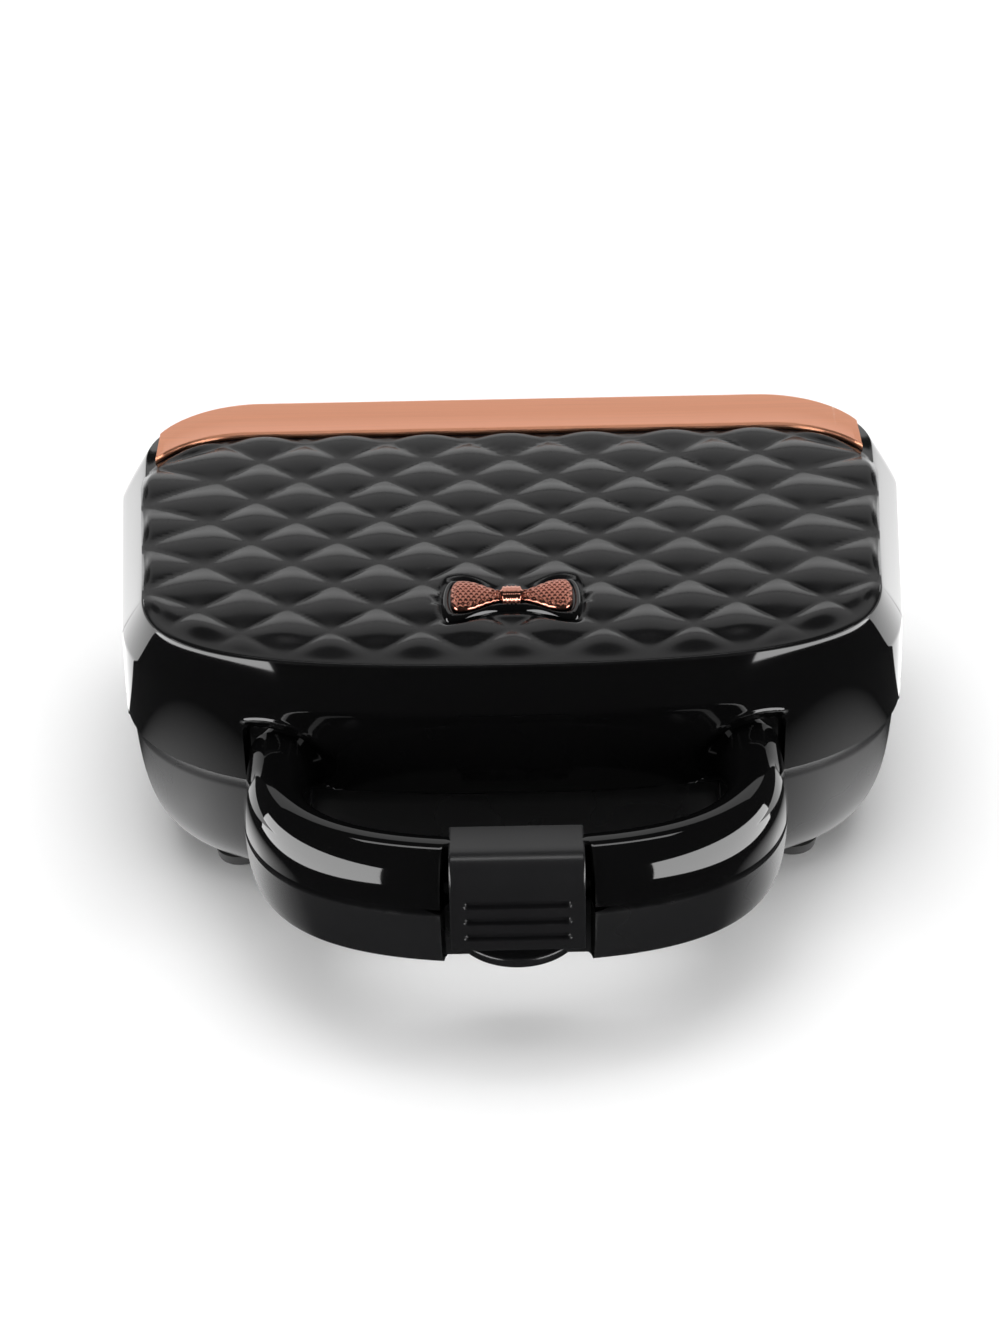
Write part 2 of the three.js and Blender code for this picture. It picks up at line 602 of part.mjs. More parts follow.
// Room in the upper grip for the latch, with the core left as a bridge, and the pin's bore.
function latchNotch() {
  const frontY = GRIP_FRONT_Y - OVER;
  const rearY = BAR_Y + HANDLE_THICK;
  const top = block(-NOTCH_HALF, NOTCH_HALF, frontY, rearY, PARTING_Z + BRIDGE_UP, FAR);
  const front = block(-NOTCH_HALF, NOTCH_HALF, frontY, BAR_Y - BRIDGE_FRONT, 0, FAR);
  const bore = rodX(LATCH_PIN_R + FIT, -NOTCH_HALF - PIN_BURIED - FIT,
    NOTCH_HALF + PIN_BURIED + FIT, PIVOT_Y, PIVOT_Z, SCREW_SIDES);
  return [top, front, bore];
}

function trimBand() {
  const low = LID_TOP_Z + FIT;
  const high = LID_TOP_Z + BAND_RISE;
  const outer = prism(caseOutline(TOP_PLAN, BAND_EDGE), low, high);
  const window = block(-BAND_HALF, BAND_HALF, 0, FAR, 0, FAR);
  return cut(outer.intersect(window), prism(panelOutline(-FIT), low - OVER, high + OVER));
}

function bowOutline(border) {
  const halfW = BOW_WIDTH / 2 + border;
  const halfD = BOW_DEPTH / 2 + border;
  const waist = BOW_WAIST / 2 + border;
  const quarter = new THREE.CubicBezierCurve(
    vec2(0, waist), vec2(halfW * BOW_FLARE.lead, waist),
    vec2(halfW * BOW_FLARE.pull, halfD), vec2(halfW * BOW_FLARE.end, halfD),
  ).getPoints(BOW_FLARE_STEPS);
  const end = new THREE.QuadraticBezierCurve(
    vec2(halfW * BOW_FLARE.end, halfD), vec2(halfW, halfD), vec2(halfW, 0),
  ).getPoints(BOW_END_STEPS).slice(1);
  const upper = [...quarter, ...end];
  const right = [...upper, ...upper.slice(0, -1).reverse().map((p) => vec2(p.x, -p.y))];
  const left = right.slice(1, -1).reverse().map((p) => vec2(-p.x, p.y));
  return [...right, ...left].map((p) => vec2(p.x, p.y + BOW_Y));
}

const BEZEL_LOW = LID_TOP_Z + QUILT_RISE + FIT;

function bowEmblem() {
  const low = BEZEL_LOW + BEZEL_RISE + FIT;
  const wings = prism(bowOutline(0), low, low + BOW_RISE);
  const knot = new THREE.SphereGeometry(BOW_WAIST / 2 + KNOT.extra, KNOT.around, KNOT.up);
  knot.scale(KNOT.wide, KNOT.deep, KNOT.high).translate(0, BOW_Y, low + BOW_RISE - KNOT.sunk);
  const above = block(-FAR, FAR, -FAR, FAR, low, FAR);
  return union(wings, toSolid(knot).intersect(above));
}

// ---------------------------------------------------------------- latch
function latchProfile() {
  const topZ = GRIP_TOP_Z;
  const underZ = topZ - LATCH_SKIN;
  const rearY = BAR_Y + HANDLE_THICK / 2 - LATCH_REAR_GAP;
  const inner = LATCH_FACE_Y + LATCH_SKIN;
  const low = LATCH_BOTTOM_Z;
  const shape = new THREE.Shape();
  shape.moveTo(rearY, underZ);
  shape.lineTo(inner + LATCH_SHOULDER, underZ);
  shape.quadraticCurveTo(inner, underZ, inner, underZ - LATCH_SHOULDER);
  shape.lineTo(inner + LATCH_TUCK, low + LATCH_HOOK);
  shape.lineTo(HOOK_INNER_Y, low + LATCH_HOOK);
  shape.lineTo(HOOK_INNER_Y, low);
  shape.lineTo(LATCH_FACE_Y + LATCH_TUCK + LATCH_CHAMFER, low);
  shape.lineTo(LATCH_FACE_Y, topZ - LATCH_SHOULDER - LATCH_SHOULDER_FACE);
  shape.quadraticCurveTo(LATCH_FACE_Y, topZ, LATCH_FACE_Y + LATCH_SHOULDER + LATCH_SHOULDER_TOP, topZ);
  shape.lineTo(rearY, topZ - LATCH_TOP_FALL);
  return shape;
}

function latch() {
  const half = LATCH_WIDTH / 2;
  const sheet = new THREE.ExtrudeGeometry(latchProfile(), {
    depth: LATCH_WIDTH, bevelEnabled: false, curveSegments: LATCH_CURVE_STEPS,
  });
  const across = new THREE.Matrix4().makeBasis(vec3(0, 1, 0), vec3(0, 0, 1), vec3(1, 0, 0));
  sheet.applyMatrix4(across).translate(-half, 0, 0);
  const ribs = [[-half, LATCH_RIB - half], [half - LATCH_RIB, half]].map(([x0, x1]) => block(
    x0, x1, LATCH_FACE_Y + LATCH_SHOULDER, PIVOT_Y, PIVOT_Z, GRIP_TOP_Z - LATCH_SKIN / 2,
  ));
  const barrel = rodX(LATCH_BARREL_R, -half, half, PIVOT_Y, PIVOT_Z, SCREW_SIDES);
  const springRoom = SPRING_HALF + LOOSE;
  const around = LATCH_BARREL_R + OVER;
  const room = block(-springRoom, springRoom, PIVOT_Y - around, PIVOT_Y + around,
    0, GRIP_TOP_Z - LATCH_SKIN);
  const bore = rodX(LATCH_PIN_R + FIT, -half - OVER, half + OVER, PIVOT_Y, PIVOT_Z, SCREW_SIDES);
  const body = union(toSolid(sheet), ...ribs, barrel.subtract(room));
  return cut(body, bore, ...latchGrooves());
}

function latchGrooves() {
  const middleZ = (PIVOT_Z + LATCH_BOTTOM_Z) / 2 - LATCH_GROOVE_DROP;
  const half = LATCH_GROOVE_LENGTH / 2;
  const high = LATCH_GROOVE_HEIGHT / 2;
  const floorY = LATCH_FACE_Y + LATCH_GROOVE_DEPTH;
  const grooves = [];
  for (let i = 0; i < LATCH_GROOVES; i += 1) {
    const z = middleZ + (i - (LATCH_GROOVES - 1) / 2) * LATCH_GROOVE_PITCH;
    grooves.push(block(-half, half, LATCH_FACE_Y - OVER, floorY, z - high, z + high));
  }
  return grooves;
}

const latchPin = () => rodX(LATCH_PIN_R, -NOTCH_HALF - PIN_BURIED, NOTCH_HALF + PIN_BURIED,
  PIVOT_Y, PIVOT_Z, SCREW_SIDES);

function latchSpring() {
  const points = [];
  const steps = SPRING_TURNS * SPRING_STEPS;
  const reach = SPRING_HALF - SPRING_WIRE_R;
  for (let i = 0; i <= steps; i += 1) {
    const turn = (2 * Math.PI * i) / SPRING_STEPS;
    const x = (2 * reach * i) / steps - reach;
    points.push(vec3(x, PIVOT_Y + SPRING_COIL_R * Math.cos(turn), PIVOT_Z + SPRING_COIL_R * Math.sin(turn)));
  }
  const section = new THREE.Shape().absarc(0, 0, SPRING_WIRE_R, 0, 2 * Math.PI);
  const coil = new THREE.ExtrudeGeometry(section, {
    steps,
    curveSegments: WIRE_SEGMENTS,
    extrudePath: new THREE.CatmullRomCurve3(points),
  });
  return toSolid(coil);
}

// ---------------------------------------------------------------- base
function baseOuter(inset, endZ) {
  return caseLoft(BASE_LEVELS, PARTING_Z - SHELL_GAP, endZ, BOTTOM_PLAN, BASE_INSET + inset);
}

function baseShell() {
  const outer = baseOuter(0, BASE_BOTTOM_Z);
  const inner = baseOuter(WALL, BASE_BOTTOM_Z + WALL);
  const rimTop = REAR_PARTING_Z - SHELL_GAP;
  const behind = block(-FAR, FAR, SIDE_STEP_Y, FAR, 0, FAR);
  const flange = prism(caseOutline(PARTING_PLAN), rimTop - FLANGE_HEIGHT, rimTop).intersect(behind);
  const mouthZ = PARTING_Z - SHELL_GAP - OVER / 2;
  const mouth = prism(caseOutline(PARTING_PLAN, BASE_INSET + WALL), mouthZ, FAR);
  const grip = cut(
    handleHalf(PARTING_Z - HANDLE_GAP, -HANDLE_DOWN, HANDLE_THICK),
    baseOuter(HANDLE_CLEAR, BASE_BOTTOM_Z),
    block(-NOTCH_HALF, NOTCH_HALF, -FAR, LOWER_BRIDGE_Y, 0, FAR),
  );
  const lipZ = PARTING_Z - HANDLE_GAP - HANDLE_DOWN + LIP_UP;
  const lipY = LATCH_FACE_Y + LIP_SET_BACK + LIP_R;
  const lipBack = block(-FAR, FAR, BAR_Y, FAR, 0, FAR);
  const lip = rodZ(LIP_R, lipZ, lipZ + LIP_THICK, 0, lipY, LIP_SIDES).subtract(lipBack);
  const webZ = [HINGE_Z - HINGE_R, rimTop];
  const knuckles = [-1, 1].flatMap(baseKnuckles).map((place) => knuckle(place, ...webZ));
  const floorZ = BASE_BOTTOM_Z + WALL / 2;
  const posts = SCREW_PLACES.map(([x, y]) => boss(x, y, BASE_BOSS_Z, floorZ).intersect(outer));
  const holes = SCREW_PLACES.map(([x, y]) => bossHole(x, y, BASE_BOSS_Z, -1));
  const tub = cut(union(outer, flange), inner, mouth);
  return cut(union(tub, grip, lip, ...knuckles, ...posts), ...holes, ...pinBores(), inletBore());
}

function inletBore() {
  const bore = new THREE.CylinderGeometry(INLET_R + FIT, INLET_R + FIT, INLET_BORE_LENGTH, MOULD_ROUND);
  return toSolid(bore.translate(INLET_X, REAR_Y - INLET_BARREL, BASE_BOTTOM_Z + INLET_UP));
}

function inletBush() {
  const middleZ = BASE_BOTTOM_Z + INLET_UP;
  const wallY = baseRearY(middleZ + INLET_FLANGE_R);
  const profile = [
    [INLET_BORE_R, -INLET_BARREL], [INLET_R, -INLET_BARREL], [INLET_R, FIT], [INLET_FLANGE_R, FIT],
    [INLET_FLANGE_R - INLET_CHAMFER, INLET_PROUD], [INLET_BORE_R, INLET_PROUD],
    [INLET_BORE_R, -INLET_BARREL],
  ].map(([r, h]) => vec2(r, h));
  const lathe = new THREE.LatheGeometry(profile, MOULD_ROUND);
  return toSolid(lathe.translate(INLET_X, wallY, middleZ));
}

// The rear wall leans in towards the floor; this is its outer face at one height.
function baseRearY(z) {
  const top = PARTING_Z - SHELL_GAP;
  const rise = (top - z) / (top - BASE_BOTTOM_Z);
  const next = BASE_LEVELS.findIndex(([level]) => level > rise);
  const [low, lowChange] = BASE_LEVELS[next - 1];
  const [high, highChange] = BASE_LEVELS[next];
  const change = lowChange + ((highChange - lowChange) * (rise - low)) / (high - low);
  return REAR_Y - BASE_INSET - BOTTOM_PLAN.rear * change;
}

function latchCatch() {
  const frontY = HOOK_INNER_Y + SHELL_GAP;
  const low = LATCH_BOTTOM_Z + LATCH_HOOK + LOOSE;
  return block(-CATCH_HALF, CATCH_HALF, frontY, LOWER_BRIDGE_Y - FIT, low, low + CATCH_HEIGHT);
}

function terminalBlock() {
  const { x, y, z } = TERMINAL;
  const middleY = REAR_Y - BOTTOM_PLAN.rear - TERMINAL_BACK;
  const low = BASE_BOTTOM_Z + WALL + FIT;
  let body = block(-x / 2, x / 2, middleY - y / 2, middleY + y / 2, low, low + z);
  for (let i = 0; i < TERMINAL_HOLES; i += 1) {
    const bore = new THREE.CylinderGeometry(
      TERMINAL_BORE_R, TERMINAL_BORE_R, y + 2 * OVER, TERMINAL_SIDES,
    );
    const place = (i - (TERMINAL_HOLES - 1) / 2) * (x / TERMINAL_HOLES);
    body = body.subtract(toSolid(bore.translate(place, middleY, low + z / 2)));
  }
  return body;
}

function footPlaces() {
  const half = CASE_HALF_WIDTH - BOTTOM_PLAN.inset - BOTTOM_PLAN.taper - FOOT_INSET;
  const frontY = FRONT_Y + BOTTOM_PLAN.front + FOOT_INSET;
  const rearY = REAR_Y - BOTTOM_PLAN.rear - FOOT_INSET;
  return [[-half, frontY], [half, frontY], [-half, rearY], [half, rearY]];
}

function foot() {
  const high = BASE_BOTTOM_Z - FIT;
  const profile = [
    [0, 0], [FOOT_R - FOOT_TREAD, 0], [FOOT_R - FOOT_EDGE.inset, FOOT_EDGE.up], [FOOT_R, high], [0, high],
  ];
  const lathe = new THREE.LatheGeometry(profile.map(([r, z]) => vec2(r, z)), MOULD_ROUND);
  return toSolid(lathe.rotateX(Math.PI / 2));
}

// ---------------------------------------------------------------- finishes
const finish = (color, roughness, metalness) => () => new THREE.MeshStandardMaterial({
  color, roughness, metalness,
});
const glossBlack = finish(0x0b0b0c, 0.12, 0);
const satinBlack = finish(0x141415, 0.45, 0);
const copper = finish(0xe08a68, 0.3, 1);
const nonStick = finish(0x26262a, 0.5, 0.4);
const steel = finish(0xb8babd, 0.3, 1);
const tin = finish(0xa9acb0, 0.45, 1);
const ceramic = finish(0xe9e4d8, 0.6, 0);
const rubber = finish(0x1a1a1a, 0.8, 0);

function add(group, name, solid, material, place = [0, 0, 0]) {
  const mesh = new THREE.Mesh(toGeometry(solid), material());
  mesh.name = name;
  mesh.position.set(...place);
  group.add(mesh);
}

// ---------------------------------------------------------------- assembly
function lidAssembly() {
  const lid = new THREE.Group();
  const heaterZ = UPPER_FACE_Z + DOME_DROP + DOME_DEPTH + FIT + HEATER_R;
  const reflectorZ = heaterZ + HEATER_R + REFLECTOR_DROP;
  add(lid, 'lid_shell', lidShell(), glossBlack);
  add(lid, 'trim_band', trimBand(), copper);
  const bezel = prism(bowOutline(BEZEL_BORDER), BEZEL_LOW, BEZEL_LOW + BEZEL_RISE);
  add(lid, 'bow_bezel', bezel, glossBlack);
  add(lid, 'bow_emblem', bowEmblem(), copper);
  add(lid, 'lid_frame', plateFrame(LID_FRAME_Z, 1, UPPER_FACE_Z), satinBlack);
  add(lid, 'upper_plate', mouldPlate(UPPER_FACE_Z, 1), nonStick);
  add(lid, 'upper_heater', heater(heaterZ), steel);
  add(lid, 'upper_reflector', reflector(reflectorZ, 1), tin);
  SCREW_PLACES.forEach(([x, y], i) => {
    add(lid, `lid_frame_screw_${i + 1}`, screw(LID_FRAME_Z, 1), steel, [x, y, 0]);
  });
  const above = reflectorZ + REFLECTOR_SHEET + FIT;
  const thermostat = rodZ(THERMOSTAT_R, above, above + THERMOSTAT_HEIGHT, 0, PLATE_MID_Y, MOULD_ROUND);
  add(lid, 'thermostat', thermostat, ceramic);
  const fuse = rodX(FUSE_R, -FUSE_LENGTH / 2, FUSE_LENGTH / 2,
    PLATE_MID_Y + THERMOSTAT_R + FUSE_BACK, above + FUSE_R, SCREW_SIDES);
  add(lid, 'thermal_fuse', fuse, ceramic);
  add(lid, 'latch_pin', latchPin(), steel);
  add(lid, 'latch_spring', latchSpring(), steel);
  return lid;
}

function baseAssembly() {
  const base = new THREE.Group();
  const heaterZ = LOWER_FACE_Z - DOME_DROP - DOME_DEPTH - FIT - HEATER_R;
  const reflectorZ = heaterZ - HEATER_R - REFLECTOR_DROP;
  add(base, 'base_shell', baseShell(), satinBlack);
  add(base, 'base_frame', plateFrame(BASE_FRAME_Z, -1, LOWER_FACE_Z), satinBlack);
  add(base, 'lower_plate', mouldPlate(LOWER_FACE_Z, -1), nonStick);
  add(base, 'lower_heater', heater(heaterZ), steel);
  add(base, 'lower_reflector', reflector(reflectorZ, -1), tin);
  SCREW_PLACES.forEach(([x, y], i) => {
    add(base, `base_frame_screw_${i + 1}`, screw(BASE_FRAME_Z, -1), steel, [x, y, 0]);
  });
  add(base, 'terminal_block', terminalBlock(), ceramic);
  add(base, 'inlet_bush', inletBush(), rubber);
  add(base, 'latch_catch', latchCatch(), steel);
  add(base, 'hinge_pin_left', hingePin(-1), steel);
  add(base, 'hinge_pin_right', hingePin(1), steel);
  footPlaces().forEach(([x, y], i) => {
    add(base, `foot_${i + 1}`, foot(), rubber, [x, y, 0]);
  });
  return base;
}

const donutMaker = new THREE.Group();
donutMaker.add(baseAssembly());
donutMaker.add(lidAssembly());
const latchGroup = new THREE.Group();
add(latchGroup, 'latch', latch(), satinBlack);
donutMaker.add(latchGroup);

export default donutMaker;
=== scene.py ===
"""Donut maker with a quilted lid, a split loop handle and a sprung latch.

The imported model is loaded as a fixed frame, and every visible shell, plate and trim is then built as a fine
surface around it. Sizes in the classes are in millimetres; meshes are written in metres.
"""

import json
import logging
import math
from dataclasses import dataclass, field, replace
from enum import Enum
from typing import Callable, Optional, Sequence

import bpy
import numpy as np
from mathutils import Matrix, Vector
from mathutils.geometry import delaunay_2d_cdt


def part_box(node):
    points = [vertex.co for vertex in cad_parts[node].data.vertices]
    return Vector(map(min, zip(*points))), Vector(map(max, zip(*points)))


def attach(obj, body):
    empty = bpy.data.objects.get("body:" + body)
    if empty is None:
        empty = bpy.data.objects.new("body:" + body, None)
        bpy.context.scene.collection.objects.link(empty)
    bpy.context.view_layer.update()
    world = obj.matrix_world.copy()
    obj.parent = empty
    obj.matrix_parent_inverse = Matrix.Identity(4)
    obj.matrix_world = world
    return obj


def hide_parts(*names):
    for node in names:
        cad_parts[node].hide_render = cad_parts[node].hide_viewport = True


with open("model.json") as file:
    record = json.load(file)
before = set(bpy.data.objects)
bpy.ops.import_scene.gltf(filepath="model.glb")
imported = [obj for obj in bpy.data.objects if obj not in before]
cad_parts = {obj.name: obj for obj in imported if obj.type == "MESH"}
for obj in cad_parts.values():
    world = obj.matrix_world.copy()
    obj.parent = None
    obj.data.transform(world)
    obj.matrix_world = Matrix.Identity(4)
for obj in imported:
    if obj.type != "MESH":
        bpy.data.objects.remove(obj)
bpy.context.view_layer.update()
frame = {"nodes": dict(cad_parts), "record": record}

log = logging.getLogger("donut_maker")
MM = 0.001
Array = np.ndarray


# ------------------------------------------------------------------ array geometry
def smooth(low: float, high: float, x: Array) -> Array:
    """Rise from 0 to 1 between low and high with level ends: 3t^2 - 2t^3.

    Args:
        low: Where the rise starts.
        high: Where it ends.
        x: The values.

    Returns:
        An array like x.
    """
    t = np.clip((np.asarray(x, float) - low) / (high - low), 0.0, 1.0)
    return t * t * (3.0 - 2.0 * t)


def bezier(a: Array, b: Array, c: Array, d: Array, t: Array) -> Array:
    """Points of a cubic Bezier curve: the four ends weighted by the Bernstein cubics.

    Args:
        a: First point.
        b: First handle.
        c: Second handle.
        d: Last point.
        t: Places along it, from 0 to 1.

    Returns:
        One row for each t.
    """
    t = np.asarray(t, float)[:, None]
    s = 1.0 - t
    a, b, c, d = (np.asarray(p, float) for p in (a, b, c, d))
    return s**3 * a + 3 * s**2 * t * b + 3 * s * t**2 * c + t**3 * d


def at_height(outline: Array, z: float | Array) -> Array:
    """Lift a flat outline to a height.

    Args:
        outline: Rows of x, y.
        z: One height, or one for each row.

    Returns:
        Rows of x, y, z.
    """
    return np.column_stack([outline, np.broadcast_to(z, len(outline))])


def lattice(rows: int, cols: int, wrap: bool, first: int = 0) -> Array:
    """Quads of a grid of points counted row by row, with the columns joined end to end if asked.

    Args:
        rows: Number of rows.
        cols: Number of columns.
        wrap: Whether the last column joins the first.
        first: Number of the first point.

    Returns:
        Four point numbers for each quad.
    """
    r, c = np.meshgrid(np.arange(rows - 1), np.arange(cols if wrap else cols - 1), indexing="ij")
    nxt = (c + 1) % cols
    quads = np.stack([r * cols + c, r * cols + nxt, (r + 1) * cols + nxt, (r + 1) * cols + c], -1)
    return quads.reshape(-1, 4) + first


def fan(ring: Array, pole: int) -> Array:
    """Triangles from each edge of a closed ring to one pole.

    Args:
        ring: Point numbers round the ring.
        pole: Point number of the pole.

    Returns:
        Three point numbers for each triangle.
    """
    return np.column_stack([ring, np.roll(ring, -1), np.full(len(ring), pole)])


def make_piece(name: str, verts: Array, quads: Array, tris: Optional[Array] = None,
               crease: float = 35.0) -> bpy.types.Object:
    """Write one closed surface to a mesh, turned so that its enclosed volume is positive.

    Args:
        name: Name of the piece.
        verts: Points in millimetres.
        quads: Four-sided faces.
        tris: Three-sided faces, if any.
        crease: Edges that turn by more than this many degrees stay sharp.

    Returns:
        The new object, at the origin.
    """
    tris = np.zeros((0, 3), int) if tris is None else tris
    corners = np.concatenate([quads[:, [0, 1, 2]], quads[:, [0, 2, 3]], tris])
    p, q, r = (verts[corners[:, i]] for i in range(3))
    if np.einsum("ij,ij->", p, np.cross(q, r)) < 0:
        quads, tris = quads[:, ::-1], tris[:, ::-1]
    loops = np.concatenate([quads.ravel(), tris.ravel()])
    counts = np.concatenate([np.full(len(quads), 4), np.full(len(tris), 3)])
    mesh = bpy.data.meshes.new(name)
    mesh.vertices.add(len(verts))
    mesh.vertices.foreach_set("co", (verts * MM).astype(np.float32).ravel())
    mesh.loops.add(len(loops))
    mesh.loops.foreach_set("vertex_index", loops.astype(np.int32))
    mesh.polygons.add(len(counts))
    mesh.polygons.foreach_set("loop_start", (np.cumsum(counts) - counts).astype(np.int32))
    mesh.polygons.foreach_set("loop_total", counts.astype(np.int32))
    mesh.polygons.foreach_set("use_smooth", np.ones(len(counts), bool))
    mesh.update(calc_edges=True)
    mesh.validate()
    mesh.set_sharp_from_angle(angle=math.radians(crease))
    piece = bpy.data.objects.new(name, mesh)
    bpy.context.scene.collection.objects.link(piece)
    return piece


def closed_loft(name: str, rings: Sequence[Array], crease: float = 35.0) -> bpy.types.Object:
    """Skin a stack of closed rings of equal length and close each end with a fan to its middle.

    Args:
        name: Name of the piece.
        rings: Rings of x, y, z points.
        crease: Sharp-edge angle in degrees.

    Returns:
        The new object.
    """
    stack = np.stack(rings)
    rows, cols, _ = stack.shape
    verts = np.concatenate([stack.reshape(-1, 3), [stack[0].mean(0), stack[-1].mean(0)]])
    first, last = np.arange(cols), np.arange(cols) + (rows - 1) * cols
    tris = np.concatenate([fan(first[::-1], rows * cols), fan(last, rows * cols + 1)])
    return make_piece(name, verts, lattice(rows, cols, True), tris, crease)


def hoop_loft(name: str, rings: Sequence[Array], crease: float = 35.0) -> bpy.types.Object:
    """Skin rings that come back to the first one, as the wall of a frame or a hollow shell does.

    Args:
        name: Name of the piece.
        rings: Rings of x, y, z points; the first isn't repeated at the end.
        crease: Sharp-edge angle in degrees.

    Returns:
        The new object.
    """
    stack = np.stack(rings)
    rows, cols, _ = stack.shape
    quads = lattice(rows + 1, cols, True) % (rows * cols)
    return make_piece(name, stack.reshape(-1, 3), quads, None, crease)


def slab(name: str, top: Array, bottom: Array, crease: float = 35.0) -> bpy.types.Object:
    """Close two grids of equal shape into one sheet by a strip round their four edges.

    Args:
        name: Name of the piece.
        top: Grid of points, rows by columns by 3.
        bottom: The other face, point for point.
        crease: Sharp-edge angle in degrees.

    Returns:
        The new object.
    """
    rows, cols, _ = top.shape
    count = rows * cols
    grid = np.arange(count).reshape(rows, cols)
    rim = np.concatenate([grid[0, :-1], grid[:-1, -1], grid[-1, :0:-1], grid[:0:-1, 0]])
    nxt = np.roll(rim, -1)
    strip = np.column_stack([nxt, rim, rim + count, nxt + count])
    upper = lattice(rows, cols, False)
    lower = lattice(rows, cols, False, count)[:, ::-1]
    verts = np.concatenate([top.reshape(-1, 3), bottom.reshape(-1, 3)])
    return make_piece(name, verts, np.concatenate([upper, lower, strip]), None, crease)


def sweep(path: Array, section: Callable[[Array], Array], up: Array = np.array([0.0, 0.0, 1.0])) -> Array:
    """Carry a section along a flat path: each point moves sideways by its first coordinate, up by its second.

    Args:
        path: Points of the path, rows of x, y, z.
        section: Gives rows of (side, up) pairs for the share of the path's length, 0 to 1.
        up: Direction of the section's second coordinate.

    Returns:
        One ring of points for each point of the path.
    """
    along = np.gradient(path, axis=0)
    along /= np.linalg.norm(along, axis=1, keepdims=True)
    side = np.cross(up, along)
    length = np.concatenate([[0.0], np.cumsum(np.linalg.norm(np.diff(path, axis=0), axis=1))])
    shape = section(length / length[-1])
    return path[:, None, :] + shape[..., :1] * side[:, None, :] + shape[..., 1:] * up


def turned(name: str, profile: Sequence[tuple[float, float]], centre: Sequence[float],
           axis: str = "z", sides: int = 48, crease: float = 30.0) -> bpy.types.Object:
    """Turn a profile of (radius, height) pairs round an axis and close it top and bottom.

    Args:
        name: Name of the piece.
        profile: Pairs in millimetres, from one end to the other.
        centre: Where height 0 of the axis is.
        axis: "x", "y" or "z".
        sides: Number of chords.
        crease: Sharp-edge angle in degrees.

    Returns:
        The new object.
    """
    pairs = np.asarray(profile, float)
    turn = np.linspace(0.0, 2.0 * np.pi, sides, endpoint=False)
    flat = np.stack([np.cos(turn), np.sin(turn)], -1)
    rings = np.concatenate([
        pairs[:, None, :1] * flat, np.broadcast_to(pairs[:, None, 1:], (len(pairs), sides, 1))
    ], -1)
    order = {"z": [0, 1, 2], "x": [2, 0, 1], "y": [1, 2, 0]}[axis]
    return closed_loft(name, list(rings[..., order] + np.asarray(centre, float)), crease)


# ------------------------------------------------------------------ what the frame gives
def node_box(node: str) -> tuple[Array, Array]:
    """Lowest and highest corner of a CAD node, in millimetres."""
    low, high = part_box(node)
    return np.array(low) / MM, np.array(high) / MM


def joint_place(name: str) -> Array:
    """A point on a joint's axis, in millimetres."""
    for joint in frame["record"]["behaviour"]["joints"]:
        if joint["name"] == name:
            return np.array(joint["pos_m"]) / MM
    raise KeyError(name)


@dataclass(frozen=True)
class Plan:
    """The case outline at one height, as what it loses from the widest one.

    Attributes:
        inset: Half width lost beside the rear corners.
        front: Depth lost at the front.
        rear: Depth lost at the rear.
        taper: Half width lost from the rear corner to the front shoulder.
        shoulder: Depth of the front curve.
        sweep: Reach of the shoulder's handle.
        corner: Rear corner size.
        nose: Reach of the front centre's handle.
    """

    inset: float
    front: float
    rear: float
    taper: float
    shoulder: float
    sweep: float
    corner: float
    nose: float

    def towards(self, other: "Plan", share: float, front_share: Optional[float] = None) -> "Plan":
        """Blend to another plan; the front may lag or lead the rest.

        Args:
            other: The plan at share 1.
            share: How far to go.
            front_share: How far the front loss goes, if it differs.

        Returns:
            The plan between.
        """
        lead = share if front_share is None else front_share
        shares = {"front": lead, "rear": lead}
        return Plan(**{
            key: value + (getattr(other, key) - value) * shares.get(key, share)
            for key, value in vars(self).items()
        })


